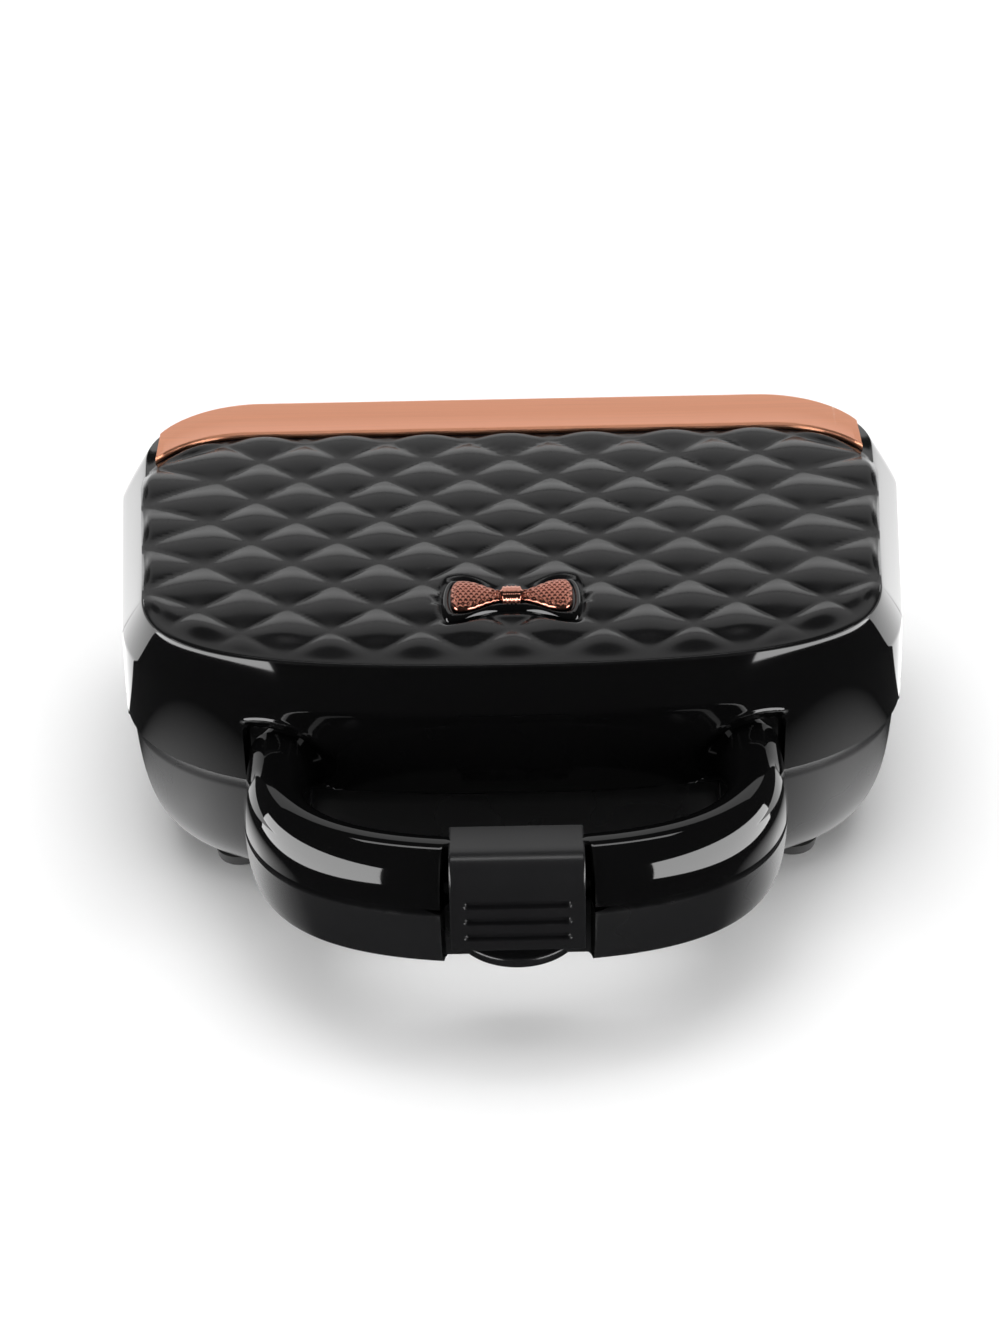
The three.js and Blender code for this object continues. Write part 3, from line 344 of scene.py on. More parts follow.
@dataclass
class CaseFrame:
    """Outlines and heights that the shells share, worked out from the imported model.

    Attributes:
        plate_inset: Case outline to the edge of the plates.
        side_step: Where the parting line steps up at the sides, front to rear.
        side_slack: What the outline's corner curves bulge past its half width.
        nose_columns: Points along each front half curve.
        side_columns: Points along each side.
        corner_columns: Points round each rear corner.
        rear_columns: Points along each rear half.
        parting: Plan at the parting plane.
        top: Plan at the lid's upper edge.
        bottom: Plan at the underside.
        band_width: Rear band, front to rear.
        band_corner: Size of the panel's rear corners.
    """

    plate_inset: float = 11.0
    side_step: float = -8.0
    side_slack: float = 0.17
    nose_columns: int = 150
    side_columns: int = 42
    corner_columns: int = 34
    rear_columns: int = 30
    parting: Plan = Plan(0, 0, 0, 7.5, 52, 40, 36, 70)
    top: Plan = Plan(9.7, 3.4, 2.4, 6.4, 39.6, 30, 33, 75)
    bottom: Plan = Plan(14, 18, 8, 5, 40, 34, 34, 60)
    band_width: float = 21.8
    band_corner: float = 30.0

    def __post_init__(self) -> None:
        """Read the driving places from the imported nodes."""
        plate_low, plate_high = node_box("lower_plate")
        base_low, base_high = node_box("base_shell")
        band_low, _ = node_box("trim_band")
        self.half_width = float(base_high[0] - self.side_slack)
        self.front_y = float(plate_low[1] - self.plate_inset)
        self.rear_y = float(plate_high[1] + self.plate_inset)
        self.parting_z = float((plate_high[2] + node_box("upper_plate")[0][2]) / 2)
        self.top_z = float(band_low[2] - 0.3)
        self.bottom_z = float(base_low[2])
        self.hinge = joint_place("lid_hinge")
        self.pivot = joint_place("latch_pivot")
        self.rear_parting_z = float(self.hinge[2])
        self.step_share = self._share_at_step()
        half = self._half(self.parting, 0.0)
        share = np.concatenate([self._nose_shares(), np.full(len(half) - self._nose_count, 2.0)])
        self.behind = np.concatenate([share, share[1:-1][::-1]]) > self.step_share

    def _share_at_step(self) -> float:
        """How far along the front curve the parting line steps up."""
        dense = np.linspace(0.0, 1.0, 800)
        curve = self._nose(self.parting, 0.0, dense)
        return float(np.interp(self.side_step, curve[:, 1], dense))

    def _nose_shares(self) -> Array:
        """Places along the front curve, with a close pair at the step."""
        even = np.linspace(0.0, 1.0, self.nose_columns)
        pair = self.step_share + np.array([-0.0008, 0.0008])
        shares = np.sort(np.concatenate([even, pair]))
        self._nose_count = len(shares)
        return shares

    def _nose(self, plan: Plan, inset: float, shares: Array) -> Array:
        """Front half curve of a plan, from the middle to the shoulder."""
        _, shoulder, along, _ = self._corners(plan, inset)
        front = self.front_y + plan.front + inset
        start = np.array([0.0, front])
        lead = np.array([min(plan.nose, (self.half_width - plan.inset - inset) * 0.68), front])
        pull = shoulder + along * (inset - plan.sweep)
        return bezier(start, lead, pull, shoulder, shares)

    def _corners(self, plan: Plan, inset: float) -> tuple[Array, Array, Array, float]:
        """Start of the rear corner, the shoulder, the way between them and the corner's size."""
        side = self.half_width - plan.inset - inset
        rear = self.rear_y - plan.rear - inset
        corner = max(plan.corner - inset, 1.0)
        shoulder = np.array([side - plan.taper, self.front_y + plan.front + plan.shoulder])
        start = np.array([side, rear - corner])
        along = (start - shoulder) / np.linalg.norm(start - shoulder)
        return start, shoulder, along, corner

    def _half(self, plan: Plan, inset: float) -> Array:
        """Right half of an outline, front centre to rear centre."""
        start, shoulder, along, corner = self._corners(plan, inset)
        rear = start[1] + corner
        end = np.array([start[0] - corner, rear])
        nose = self._nose(plan, inset, self._nose_shares())
        share = np.linspace(0.0, 1.0, self.side_columns + 1)[1:, None]
        side = shoulder + (start - shoulder) * share
        reach = 0.55 * corner
        turn = bezier(start, start + along * reach, end + [reach, 0.0], end,
                      np.linspace(0.0, 1.0, self.corner_columns + 1)[1:])
        back = end + (np.array([0.0, rear]) - end) * np.linspace(0.0, 1.0, self.rear_columns + 1)[1:, None]
        return np.concatenate([nose, side, turn, back])

    def outline(self, plan: Plan, inset: float = 0.0) -> Array:
        """Whole outline of a plan, moved inwards by inset: front centre, right side, rear, left side.

        Args:
            plan: The plan.
            inset: Distance inwards.

        Returns:
            Rows of x, y.
        """
        half = self._half(plan, inset)
        mirror = half[1:-1][::-1] * [-1.0, 1.0]
        return np.concatenate([half, mirror])

    def panel(self, inset: float = 0.0) -> Array:
        """Outline of the quilted panel, which stops short of the rear band."""
        plan = replace(self.top, rear=self.top.rear + self.band_width, corner=self.band_corner)
        return self.outline(plan, inset)

    def split(self, front: Array, rear: Array) -> Array:
        """Take each column from front before the step in the parting line, and from rear behind it."""
        return np.where(self.behind[:len(front), None], rear, front)


# ------------------------------------------------------------------ shader groups and finishes
class Tree:
    """A short way to lay out the nodes of a material or a group."""

    def __init__(self, tree: bpy.types.NodeTree) -> None:
        """Keep the tree."""
        self.tree = tree

    def add(self, kind: str, values: Optional[dict] = None, **settings: object) -> bpy.types.Node:
        """Add a node.

        Args:
            kind: Node type without its ShaderNode prefix.
            values: Constant or socket for each named or numbered input.
            **settings: Properties of the node.

        Returns:
            The node.
        """
        node = self.tree.nodes.new("ShaderNode" + kind)
        for key, value in settings.items():
            setattr(node, key, value)
        for key, value in (values or {}).items():
            if isinstance(value, bpy.types.NodeSocket):
                self.tree.links.new(value, node.inputs[key])
            else:
                node.inputs[key].default_value = value
        return node

    def math(self, operation: str, a: object, b: object = 0.0) -> bpy.types.NodeSocket:
        """Result of a math node on two values or sockets."""
        return self.add("Math", {0: a, 1: b}, operation=operation).outputs[0]

    def group(self, which: bpy.types.NodeTree, values: dict) -> bpy.types.Node:
        """Place a node group with its own values."""
        node = self.tree.nodes.new("ShaderNodeGroup")
        node.node_tree = which
        for key, value in values.items():
            if isinstance(value, bpy.types.NodeSocket):
                self.tree.links.new(value, node.inputs[key])
            else:
                node.inputs[key].default_value = value
        return node


def new_group(name: str, inputs: dict[str, float],
              outputs: Sequence[str]) -> tuple[Tree, dict, bpy.types.Node]:
    """Start a shader group with float sockets.

    Args:
        name: Name of the group.
        inputs: Default for each input.
        outputs: Names of the outputs.

    Returns:
        Its layout, its input sockets by name, and its output node.
    """
    tree = bpy.data.node_groups.new(name, "ShaderNodeTree")
    for key, value in inputs.items():
        tree.interface.new_socket(key, in_out="INPUT", socket_type="NodeSocketFloat").default_value = value
    for key in outputs:
        tree.interface.new_socket(key, in_out="OUTPUT", socket_type="NodeSocketFloat")
    source = tree.nodes.new("NodeGroupInput")
    sink = tree.nodes.new("NodeGroupOutput")
    return Tree(tree), {key: source.outputs[key] for key in inputs}, sink


def object_point(tree: Tree, scale: Sequence[float] = (1.0, 1.0, 1.0)) -> bpy.types.NodeSocket:
    """Object coordinates in metres, stretched by scale."""
    place = tree.add("TexCoord").outputs["Object"]
    return tree.add("Mapping", {"Vector": place, "Scale": tuple(scale)}).outputs[0]


class Effect(Enum):
    """Surface effects that several finishes share."""

    GRAIN = "moulded_grain"
    WEAR = "edge_wear"
    DUST = "settled_dust"
    BRUSH = "long_brushing"

    def tree(self) -> bpy.types.NodeTree:
        """The effect's node group, built the first time it is asked for."""
        found = bpy.data.node_groups.get(self.value)
        return found if found else EFFECT_BUILDERS[self](self.value)


def grain_group(name: str) -> bpy.types.NodeTree:
    """Fine moulded grain over a slow unevenness: two noises, one at Scale and one a hundredth of it."""
    tree, given, out = new_group(name, {"Scale": 2500.0, "Fine": 0.7}, ["Height", "Slow"])
    point = object_point(tree)
    fine = tree.add("TexNoise", {"Vector": point, "Scale": given["Scale"], "Detail": 3.0}).outputs[0]
    slow_scale = tree.math("MULTIPLY", given["Scale"], 0.012)
    slow = tree.add("TexNoise", {"Vector": point, "Scale": slow_scale, "Detail": 2.0}).outputs[0]
    mix = tree.math("ADD", tree.math("MULTIPLY", fine, given["Fine"]), tree.math("MULTIPLY", slow, 0.3))
    tree.tree.links.new(mix, out.inputs["Height"])
    tree.tree.links.new(slow, out.inputs["Slow"])
    return tree.tree


def wear_group(name: str) -> bpy.types.NodeTree:
    """Rubbed edges: convex edges by pointiness, broken up by noise."""
    tree, given, out = new_group(name, {"Start": 0.54, "End": 0.66, "Scale": 180.0}, ["Mask"])
    point = tree.add("NewGeometry").outputs["Pointiness"]
    edge = tree.add("MapRange", {"Value": point, "From Min": given["Start"], "From Max": given["End"]})
    noise = tree.add("TexNoise", {"Vector": object_point(tree), "Scale": given["Scale"], "Detail": 4.0})
    broken = tree.add("MapRange", {"Value": noise.outputs[0], "From Min": 0.4, "From Max": 0.65})
    mask = tree.math("MULTIPLY", edge.outputs[0], broken.outputs[0])
    tree.tree.links.new(mask, out.inputs["Mask"])
    return tree.tree


def dust_group(name: str) -> bpy.types.NodeTree:
    """Specks of dust on surfaces that face up: small cells thinned by noise, times the upward normal."""
    tree, given, out = new_group(name, {"Scale": 420.0, "Amount": 0.5}, ["Mask"])
    point = object_point(tree)
    cell = tree.add("TexVoronoi", {"Vector": point, "Scale": given["Scale"]}).outputs["Distance"]
    speck = tree.add("MapRange", {"Value": cell, "From Min": 0.09, "From Max": 0.03}).outputs[0]
    thin = tree.add("TexNoise", {"Vector": point, "Scale": 90.0}).outputs[0]
    keep = tree.add("MapRange", {"Value": thin, "From Min": 0.56, "From Max": 0.66}).outputs[0]
    normal = tree.add("NewGeometry").outputs["Normal"]
    upward = tree.add("SeparateXYZ", {0: normal}).outputs["Z"]
    facing = tree.add("MapRange", {"Value": upward, "From Min": 0.3, "From Max": 0.9}).outputs[0]
    mask = tree.math("MULTIPLY", tree.math("MULTIPLY", speck, keep), facing)
    tree.tree.links.new(tree.math("MULTIPLY", mask, given["Amount"]), out.inputs["Mask"])
    return tree.tree


def brush_group(name: str) -> bpy.types.NodeTree:
    """Long scratches along X: noise squeezed to a fiftieth of its length across the grain."""
    tree, given, out = new_group(name, {"Scale": 60.0}, ["Streak", "Height"])
    fine = object_point(tree, (0.25, 46.0, 46.0))
    broad = object_point(tree, (0.12, 7.0, 7.0))
    thin = tree.add("TexNoise", {"Vector": fine, "Scale": given["Scale"], "Detail": 4.0}).outputs[0]
    wide = tree.add("TexNoise", {"Vector": broad, "Scale": given["Scale"], "Detail": 3.0}).outputs[0]
    streak = tree.math("ADD", tree.math("MULTIPLY", thin, 0.7), tree.math("MULTIPLY", wide, 0.3))
    tree.tree.links.new(streak, out.inputs["Streak"])
    tree.tree.links.new(thin, out.inputs["Height"])
    return tree.tree


EFFECT_BUILDERS: dict[Effect, Callable[[str], bpy.types.NodeTree]] = {
    Effect.GRAIN: grain_group,
    Effect.WEAR: wear_group,
    Effect.DUST: dust_group,
    Effect.BRUSH: brush_group,
}


class Pattern(Enum):
    """What a finish has besides grain, wear and dust."""

    PLAIN = "plain"
    BRUSHED = "brushed"
    SPECKLED = "speckled"


@dataclass(frozen=True)
class Finish:
    """One finish of the appliance.

    Attributes:
        slot: The record's material slot; not used.
        color: Base colour, linear.
        worn: Colour where edges are rubbed.
        roughness: Mean roughness.
        spread: How far the roughness varies with the slow unevenness.
        metallic: 1 for metals.
        specular: Specular level.
        grain: Scale of the grain.
        bump: Depth of the grain in metres.
        dust: Amount of dust.
        pattern: Extra pattern.
        coat: Clear coat weight.
    """

    slot: str
    color: tuple[float, float, float]
    worn: tuple[float, float, float]
    roughness: float
    spread: float = 0.04
    metallic: float = 0.0
    specular: float = 0.5
    grain: float = 2500.0
    bump: float = 2e-6
    dust: float = 0.0
    pattern: Pattern = Pattern.PLAIN
    coat: float = 0.0

    def material(self, name: str) -> bpy.types.Material:
        """Build the material once and return it.

        Args:
            name: Name of the material.

        Returns:
            The material.
        """
        made = bpy.data.materials.get(name)
        if made:
            return made
        made = bpy.data.materials.new(name)
        made.use_nodes = True
        made.node_tree.nodes.clear()
        tree = Tree(made.node_tree)
        grain = tree.group(Effect.GRAIN.tree(), {"Scale": self.grain})
        wear = tree.group(Effect.WEAR.tree(), {})
        color, height, rough = self._pattern(tree, grain)
        worn = tree.add("Mix", {0: wear.outputs["Mask"], 6: color, 7: (*self.worn, 1.0)}, data_type="RGBA")
        shade = worn.outputs[2]
        if self.dust:
            dust = tree.group(Effect.DUST.tree(), {"Amount": self.dust})
            grey = (0.35, 0.34, 0.33, 1.0)
            shade = tree.add("Mix", {0: dust.outputs[0], 6: shade, 7: grey}, data_type="RGBA").outputs[2]
        bump = tree.add("Bump", {"Height": height, "Distance": self.bump, "Strength": 1.0})
        shader = tree.add("BsdfPrincipled", {
            "Base Color": shade, "Roughness": rough, "Metallic": self.metallic,
            "Specular IOR Level": self.specular, "Normal": bump.outputs[0], "Coat Weight": self.coat,
        })
        out = tree.add("OutputMaterial")
        made.node_tree.links.new(shader.outputs[0], out.inputs[0])
        made.diffuse_color = (*self.color, 1.0)
        return made

    def _pattern(self, tree: Tree, grain: bpy.types.Node) -> tuple:
        """Colour, height and roughness sockets of the finish's pattern.

        Args:
            tree: Layout of the material.
            grain: The placed grain group.

        Returns:
            Three sockets.
        """
        mask, height = grain.outputs["Slow"], grain.outputs["Height"]
        if self.pattern is Pattern.BRUSHED:
            brush = tree.group(Effect.BRUSH.tree(), {})
            mask, height = brush.outputs["Streak"], brush.outputs["Height"]
        elif self.pattern is Pattern.SPECKLED:
            spots = tree.add("TexVoronoi", {"Vector": object_point(tree), "Scale": 900.0}).outputs["Distance"]
            mask = tree.add("MapRange", {"Value": spots, "From Min": 0.1, "From Max": 0.5}).outputs[0]
        low = tuple(c * 0.78 for c in self.color)
        high = tuple(min(1.0, c * 1.2) for c in self.color)
        ramp = tree.add("Mix", {0: mask, 6: (*low, 1.0), 7: (*high, 1.0)}, data_type="RGBA").outputs[2]
        rough = tree.add("MapRange", {
            "Value": mask, "From Min": 0.3, "From Max": 0.7,
            "To Min": max(self.roughness - self.spread, 0.01), "To Max": self.roughness + self.spread,
        }).outputs[0]
        return ramp, height, rough


GLOSS = Finish("case_gloss", (0.0022, 0.0022, 0.0023), (0.02, 0.02, 0.02), 0.05, 0.015, dust=0.10, bump=5e-7)
QUILT = replace(GLOSS, roughness=0.2, spread=0.03, specular=0.33, color=(0.004, 0.004, 0.0042), bump=1.5e-6)
SATIN = Finish("case_satin", (0.010, 0.010, 0.0105), (0.06, 0.06, 0.06), 0.27, 0.04, bump=4e-6)
LATCH = replace(SATIN, color=(0.008, 0.008, 0.0085), roughness=0.22, bump=3e-6)
FRAME = replace(SATIN, color=(0.012, 0.012, 0.012), roughness=0.42)
BAND = Finish("copper_band", (0.97, 0.40, 0.24), (0.97, 0.66, 0.5), 0.40, 0.06, metallic=1.0,
              pattern=Pattern.BRUSHED, bump=6e-6)
PLATING = Finish("copper_plating", (0.62, 0.25, 0.18), (0.95, 0.6, 0.48), 0.18, 0.04, metallic=1.0)
KNOT = replace(PLATING, roughness=0.10, color=(0.70, 0.31, 0.23))
NON_STICK = Finish("non_stick_plate", (0.030, 0.030, 0.032), (0.12, 0.12, 0.12), 0.38, 0.08,
                   pattern=Pattern.SPECKLED, bump=8e-6, metallic=0.25)
REFLECTOR = Finish("reflector_sheet", (0.62, 0.62, 0.63), (0.8, 0.8, 0.8), 0.36, 0.08, metallic=1.0,
                   pattern=Pattern.BRUSHED, bump=3e-6)
HEATER = Finish("heater_tube", (0.30, 0.27, 0.25), (0.5, 0.45, 0.4), 0.42, 0.1, metallic=1.0, bump=6e-6)
STEEL = Finish("steel_parts", (0.60, 0.60, 0.61), (0.8, 0.8, 0.8), 0.24, 0.06, metallic=1.0, bump=2e-6)
CERAMIC = Finish("ceramic_parts", (0.80, 0.77, 0.70), (0.9, 0.88, 0.84), 0.62, 0.06, bump=1e-5)
RUBBER = Finish("rubber_parts", (0.022, 0.022, 0.022), (0.06, 0.06, 0.06), 0.72, 0.06, bump=1.5e-5)


def dress(piece: bpy.types.Object, finish: Finish, name: str, body: str,
          stands_for: Sequence[str] = ()) -> bpy.types.Object:
    """Give a piece its material and body, and hide the CAD nodes that it stands for.

    Args:
        piece: The piece.
        finish: Its finish.
        name: Name of the material.
        body: The body it rides on.
        stands_for: CAD nodes that it replaces.

    Returns:
        The piece.
    """
    piece.data.materials.clear()
    piece.data.materials.append(finish.material(name))
    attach(piece, body)
    if stands_for:
        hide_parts(*stands_for)
    log.info("%s on %s: %d faces", piece.name, body, len(piece.data.polygons))
    return piece


# ------------------------------------------------------------------ lid
@dataclass
class LidHousing:
    """Gloss upper housing with the quilted panel.

    Attributes:
        case: Shared outlines.
        lip_gap: Lid edge above the parting plane.
        wall: Wall thickness.
        shoulder: Share of the height that the rolled upper edge takes.
        diamond_width: Width of a quilt diamond.
        diamond_depth: Depth of a quilt diamond.
        pillow: Height of a pillow over its seams.
        crossing_y: A line of seam crossings.
        crown: Rise of the seams over the panel's border.
        margin: Plain border of the panel.
        stretch_from: Beyond this the diamonds stretch to meet the side border.
        quilt_rings: Rings of the quilt's mesh.
        arch_high: Height of the finger pocket's arch over the arm.
        arch_fall: How fast the arch falls away on both sides.
        arch_x: Where the arch peaks.
        pocket_from: Where the pocket fades in, and where it is fully deep.
        pocket_to: Its square outer edge.
        pocket_depth: Depth of the pocket.
        pocket_rise: Height over which it sinks.
        bead: Height of the bead along the arch.
        bead_wide: Its half width.
    """

    case: CaseFrame
    lip_gap: float = 0.5
    wall: float = 2.6
    shoulder: float = 0.36
    diamond_width: float = 25.0
    diamond_depth: float = 24.2
    pillow: float = 1.75
    crossing_y: float = 61.0
    crown: float = 1.1
    margin: float = 2.8
    stretch_from: float = 87.5
    quilt_rings: int = 122
    arch_high: float = 67.5
    arch_fall: float = 0.027
    arch_x: float = 68.0
    pocket_from: tuple[float, float] = (47.0, 60.0)
    pocket_to: float = 74.6
    pocket_depth: float = 3.4
    pocket_rise: float = 5.0
    bead: float = 0.3
    bead_wide: float = 0.6

    def rim(self, rise: float, inset: float = 0.0) -> Array:
        """Outline of the wall at a share of its height.

        The sides lean in all the way up and the front only over the rolled edge, by a power of the way up it with a
        little of an ellipse.
        """
        over = max(0.0, (rise - 1.0 + self.shoulder) / self.shoulder)
        rolled = 0.88 * over**1.06 + 0.12 * (1.0 - math.sqrt(max(0.0, 1.0 - over**2)))
        sides = 0.2 * rise**1.2 + 0.8 * rolled
        plan = self.case.parting.towards(self.case.top, sides, rolled)
        return self.case.outline(plan, inset)

    def ring(self, rise: float, inset: float, lift: float = 0.0) -> Array:
        """Wall ring whose lower end follows the step in the parting line."""
        case = self.case
        low = np.where(case.behind, case.rear_parting_z, case.parting_z) + self.lip_gap + lift
        z = low + (case.top_z - low) * rise
        start = case.split(*(np.full((len(z), 1), v) for v in (0.0, 0.11)))[:, 0]
        share = start + (1.0 - start) * rise
        table = np.sin(np.linspace(0.0, np.pi / 2, 61))
        stack = np.stack([self.rim(t, inset) for t in table])
        place = np.interp(share, table, np.arange(len(table)))
        step = np.minimum(place.astype(int), len(table) - 2)
        part = (place - step)[:, None]
        column = np.arange(len(z))
        flat = stack[step, column] * (1 - part) + stack[step + 1, column] * part
        return at_height(flat, z)

    def recess(self, ring: Array) -> Array:
        """Press the front wall in beside the handle arms.

        The pocket sinks evenly below an arch that peaks over the arm and falls with the square of the distance from
        there. It is cut off square at its outer edge and fades towards the middle; a fine bead runs along the arch.
        """
        x = np.abs(ring[:, 0])
        front = ring[:, 1] < self.case.front_y + 25
        arch = self.arch_high - self.arch_fall * (x - self.arch_x) ** 2
        along = smooth(*self.pocket_from, x) * (x < self.pocket_to)
        below = arch - ring[:, 2]
        sunk = self.pocket_depth * np.clip(below / self.pocket_rise, 0.0, 1.0)
        sunk -= self.bead * np.exp(-((below + self.bead) / self.bead_wide) ** 2)
        moved = ring.copy()
        moved[:, 1] += np.where(front, along * sunk, 0.0)
        return moved

    def build_skirt(self) -> bpy.types.Object:
        """Outer wall, rolled edge, deck under the band and inner wall, as one closed skin."""
        case = self.case
        rolled = 0.6 + 0.4 * np.sin(np.linspace(0.02, np.pi / 2, 44))
        outer_rises = np.concatenate([np.linspace(0.0, 0.6, 80), rolled])
        rings = [self.recess(self.ring(t, 0.25 if i == 0 else 0.0)) for i, t in enumerate(outer_rises)]
        rings[0] = self.ring(0.0, 0.4)
        rings[1] = self.recess(self.ring(0.0, 0.0, 0.35))
        deck = at_height(case.panel(1.2), case.top_z)
        rings += [deck, deck - [0.0, 0.0, self.wall]]
        rings += [self.ring(t, self.wall) for t in (0.93, 0.8, 0.6, 0.4, 0.2, 0.0)]
        return hoop_loft("lid_skirt", rings, 38.0)

    def seams(self, x: Array, y: Array) -> Array:
        """Pillow height from 0 to 1: the product of the sines of the two diagonals, to the power 0.76.

        It is eased a little at the seams.
        """
        side = np.abs(x)
        border = self._side_border(y)
        over = (side - self.stretch_from) / np.maximum(border - self.stretch_from, 1.0)
        cells = self.stretch_from / self.diamond_width
        across = np.where(side > self.stretch_from, cells + 0.5 * over, side / self.diamond_width)
        along = (y - self.crossing_y) / self.diamond_depth
        wave = np.abs(np.sin(np.pi * (across + along)) * np.sin(np.pi * (across - along)))
        return (wave**2 + 0.0003) ** 0.38

    def _side_border(self, y: Array) -> Array:
        """Half width of the panel at each y."""
        outline = self.case.panel(0.0)
        right = outline[outline[:, 0] > self.case.half_width / 2]
        order = np.argsort(right[:, 1])
        return np.interp(y, right[order, 1], right[order, 0])

    def build_quilt(self) -> bpy.types.Object:
        """Quilted panel: rings from the border to the middle, lifted by the crown and the pillows.

        The pillows fade in over the margin, which widens towards the front.
        """
        case = self.case
        border = case.panel(0.1)
        middle = np.array([0.0, border[:, 1].mean() * 0.5 + 8.0])
        reach = np.linalg.norm(border - middle, axis=1)
        share = np.linspace(1.0, 0.012, self.quilt_rings)[:, None, None]
        flat = middle + (border - middle) * share
        depth = (1.0 - share[..., 0]) * reach
        bow = BowTie(case)
        flatten = bow.clearance(flat[..., 0], flat[..., 1])
        pillow = self.seams(flat[..., 0], flat[..., 1]) * self.pillow
        reach_in = self.margin * (1.0 + 4.5 * smooth(-12.0, -44.0, flat[..., 1]))
        pillow *= smooth(0.1, 1.0, depth / reach_in) * flatten
        crown = self.crown * (1.0 - np.exp(-depth / 9.0))
        lift = 0.35 * smooth(0.0, 0.5, depth)
        top = np.concatenate([flat, (case.top_z + lift + crown + pillow)[..., None]], -1)
        under = case.panel(0.6)
        low = at_height(under, case.top_z - 1.6)
        floor = at_height(middle + (under - middle) * 0.1, case.top_z - 1.6)
        return closed_loft("quilted_panel", [floor, low, at_height(border, case.top_z - 0.1), *top], 60.0)

    def knuckles(self) -> list[bpy.types.Object]:
        """Lid hinge barrels with their webs, one at each side."""
        low, high = node_box("hinge_pin_right")
        middle = (high[0] + low[0]) / 2
        return [
            hinge_barrel(f"lid_hinge_{side}", self.case, sign * middle, 6.8, 1)
            for side, sign in (("left", -1), ("right", 1))
        ]

    def build(self) -> None:
        """Make and dress the housing's pieces."""
        dress(self.build_skirt(), GLOSS, "piano_black", "lid", ["lid_shell"])
        dress(self.build_quilt(), QUILT, "quilt_black", "lid", ["lid_shell"])
        for piece in self.knuckles():
            dress(piece, GLOSS, "piano_black", "lid")


def hinge_barrel(name: str, case: CaseFrame, x: float, half: float, up: int) -> bpy.types.Object:
    """One hinge knuckle: a barrel whose wall side runs out into a web.

    The outline is a circle over most of its turn, and a block to the case wall over the rest.

    Args:
        name: Name of the piece.
        case: Shared outlines.
        x: Middle of the knuckle.
        half: Half of its width.
        up: 1 for a lid knuckle and -1 for a base one.

    Returns:
        The piece.
    """
    radius = 5.0
    turn = np.linspace(-0.5 * np.pi, 0.5 * np.pi, 25)
    arc = np.column_stack([radius * np.cos(turn), radius * np.sin(turn) * up])
    reach = case.rear_y - 3.0 - case.hinge[1]
    web = np.array([[reach, radius], [reach, 0.8]]) * [1, up]
    nose = np.array([[-radius * 0.9, 0.6 * up], [-radius * 0.62, -radius * 0.78 * up]])
    outline = np.concatenate([arc, web, nose])
    eased = [(half, 0.5), (half - 0.15, 0.15), (half - 0.5, 0.0)]
    ends = [(-shift, inset) for shift, inset in eased] + eased[::-1]
    middle = outline.mean(0)
    rings = []
    for shift, inset in ends:
        flat = middle + (outline - middle) * (1.0 - inset / radius)
        rings.append(np.column_stack([
            np.full(len(flat), x + shift), flat[:, 0] + case.hinge[1], flat[:, 1] + case.hinge[2],
        ]))
    return closed_loft(name, rings, 40.0)


@dataclass
class TrimBand:
    """Brushed band over the rear edge of the lid, with a rolled front edge and square ends.

    Attributes:
        case: Shared outlines.
        rise: Its height over the lid's edge.
        edge: Its rear edge inside the lid's.
        half: Half of its width.
        bead: Height of the rolled edge.
    """

    case: CaseFrame
    rise: float = 1.7
    edge: float = 0.6
    half: float = 107.5
    bead: float = 0.35

    def build(self) -> None:
        """Section between the rear edge and the panel's edge, carried from end to end."""
        case = self.case
        outer = case.outline(case.top, self.edge)
        inner = case.panel(-0.35)
        count = case.nose_columns
        keep = slice(count, len(outer) - count)
        outer, inner = outer[keep], inner[keep]
        run = np.linspace(0.0, 1.0, 700)
        outer, inner = (self._clipped(curve, run) for curve in (outer, inner))
        low, high = case.top_z + 0.05, case.top_z + self.rise
        profile = np.array([  # share of the way forward, height
            [0.0, low], [-0.01, high - 0.7], [0.004, high - 0.25], [0.02, high - 0.05], [0.06, high],
            [0.5, high + 0.05], [0.86, high + 0.02], [0.915, high + self.bead], [0.955, high + self.bead],
            [0.99, high - 0.1], [1.0, high - 0.7], [0.985, low],
        ])
        share, z = profile[:, 0][None, :, None], profile[:, 1]
        flat = outer[:, None] + (inner - outer)[:, None] * share
        rings = np.concatenate([flat, np.broadcast_to(z[None, :, None], (*flat.shape[:2], 1))], -1)
        dress(closed_loft("rear_trim_band", list(rings), 30.0), BAND, "brushed_copper", "lid", ["trim_band"])

    def _clipped(self, curve: Array, run: Array) -> Array:
        """Even points of the part of a curve between the band's two square ends."""
        half = curve[: len(curve) // 2 + 1]
        inside = np.abs(half[:, 0]) < self.half
        first = int(np.argmax(inside & (half[:, 1] > 40)))
        a, b = half[first - 1], half[first]
        share = (a[0] - self.half) / (a[0] - b[0])
        start = a + (b - a) * share
        right = np.concatenate([[start], half[first:]])
        whole = np.concatenate([right, right[:-1][::-1] * [-1, 1]])
        length = np.concatenate([[0.0], np.cumsum(np.linalg.norm(np.diff(whole, axis=0), axis=1))])
        place = run * length[-1]
        return np.column_stack([np.interp(place, length, whole[:, i]) for i in range(2)])


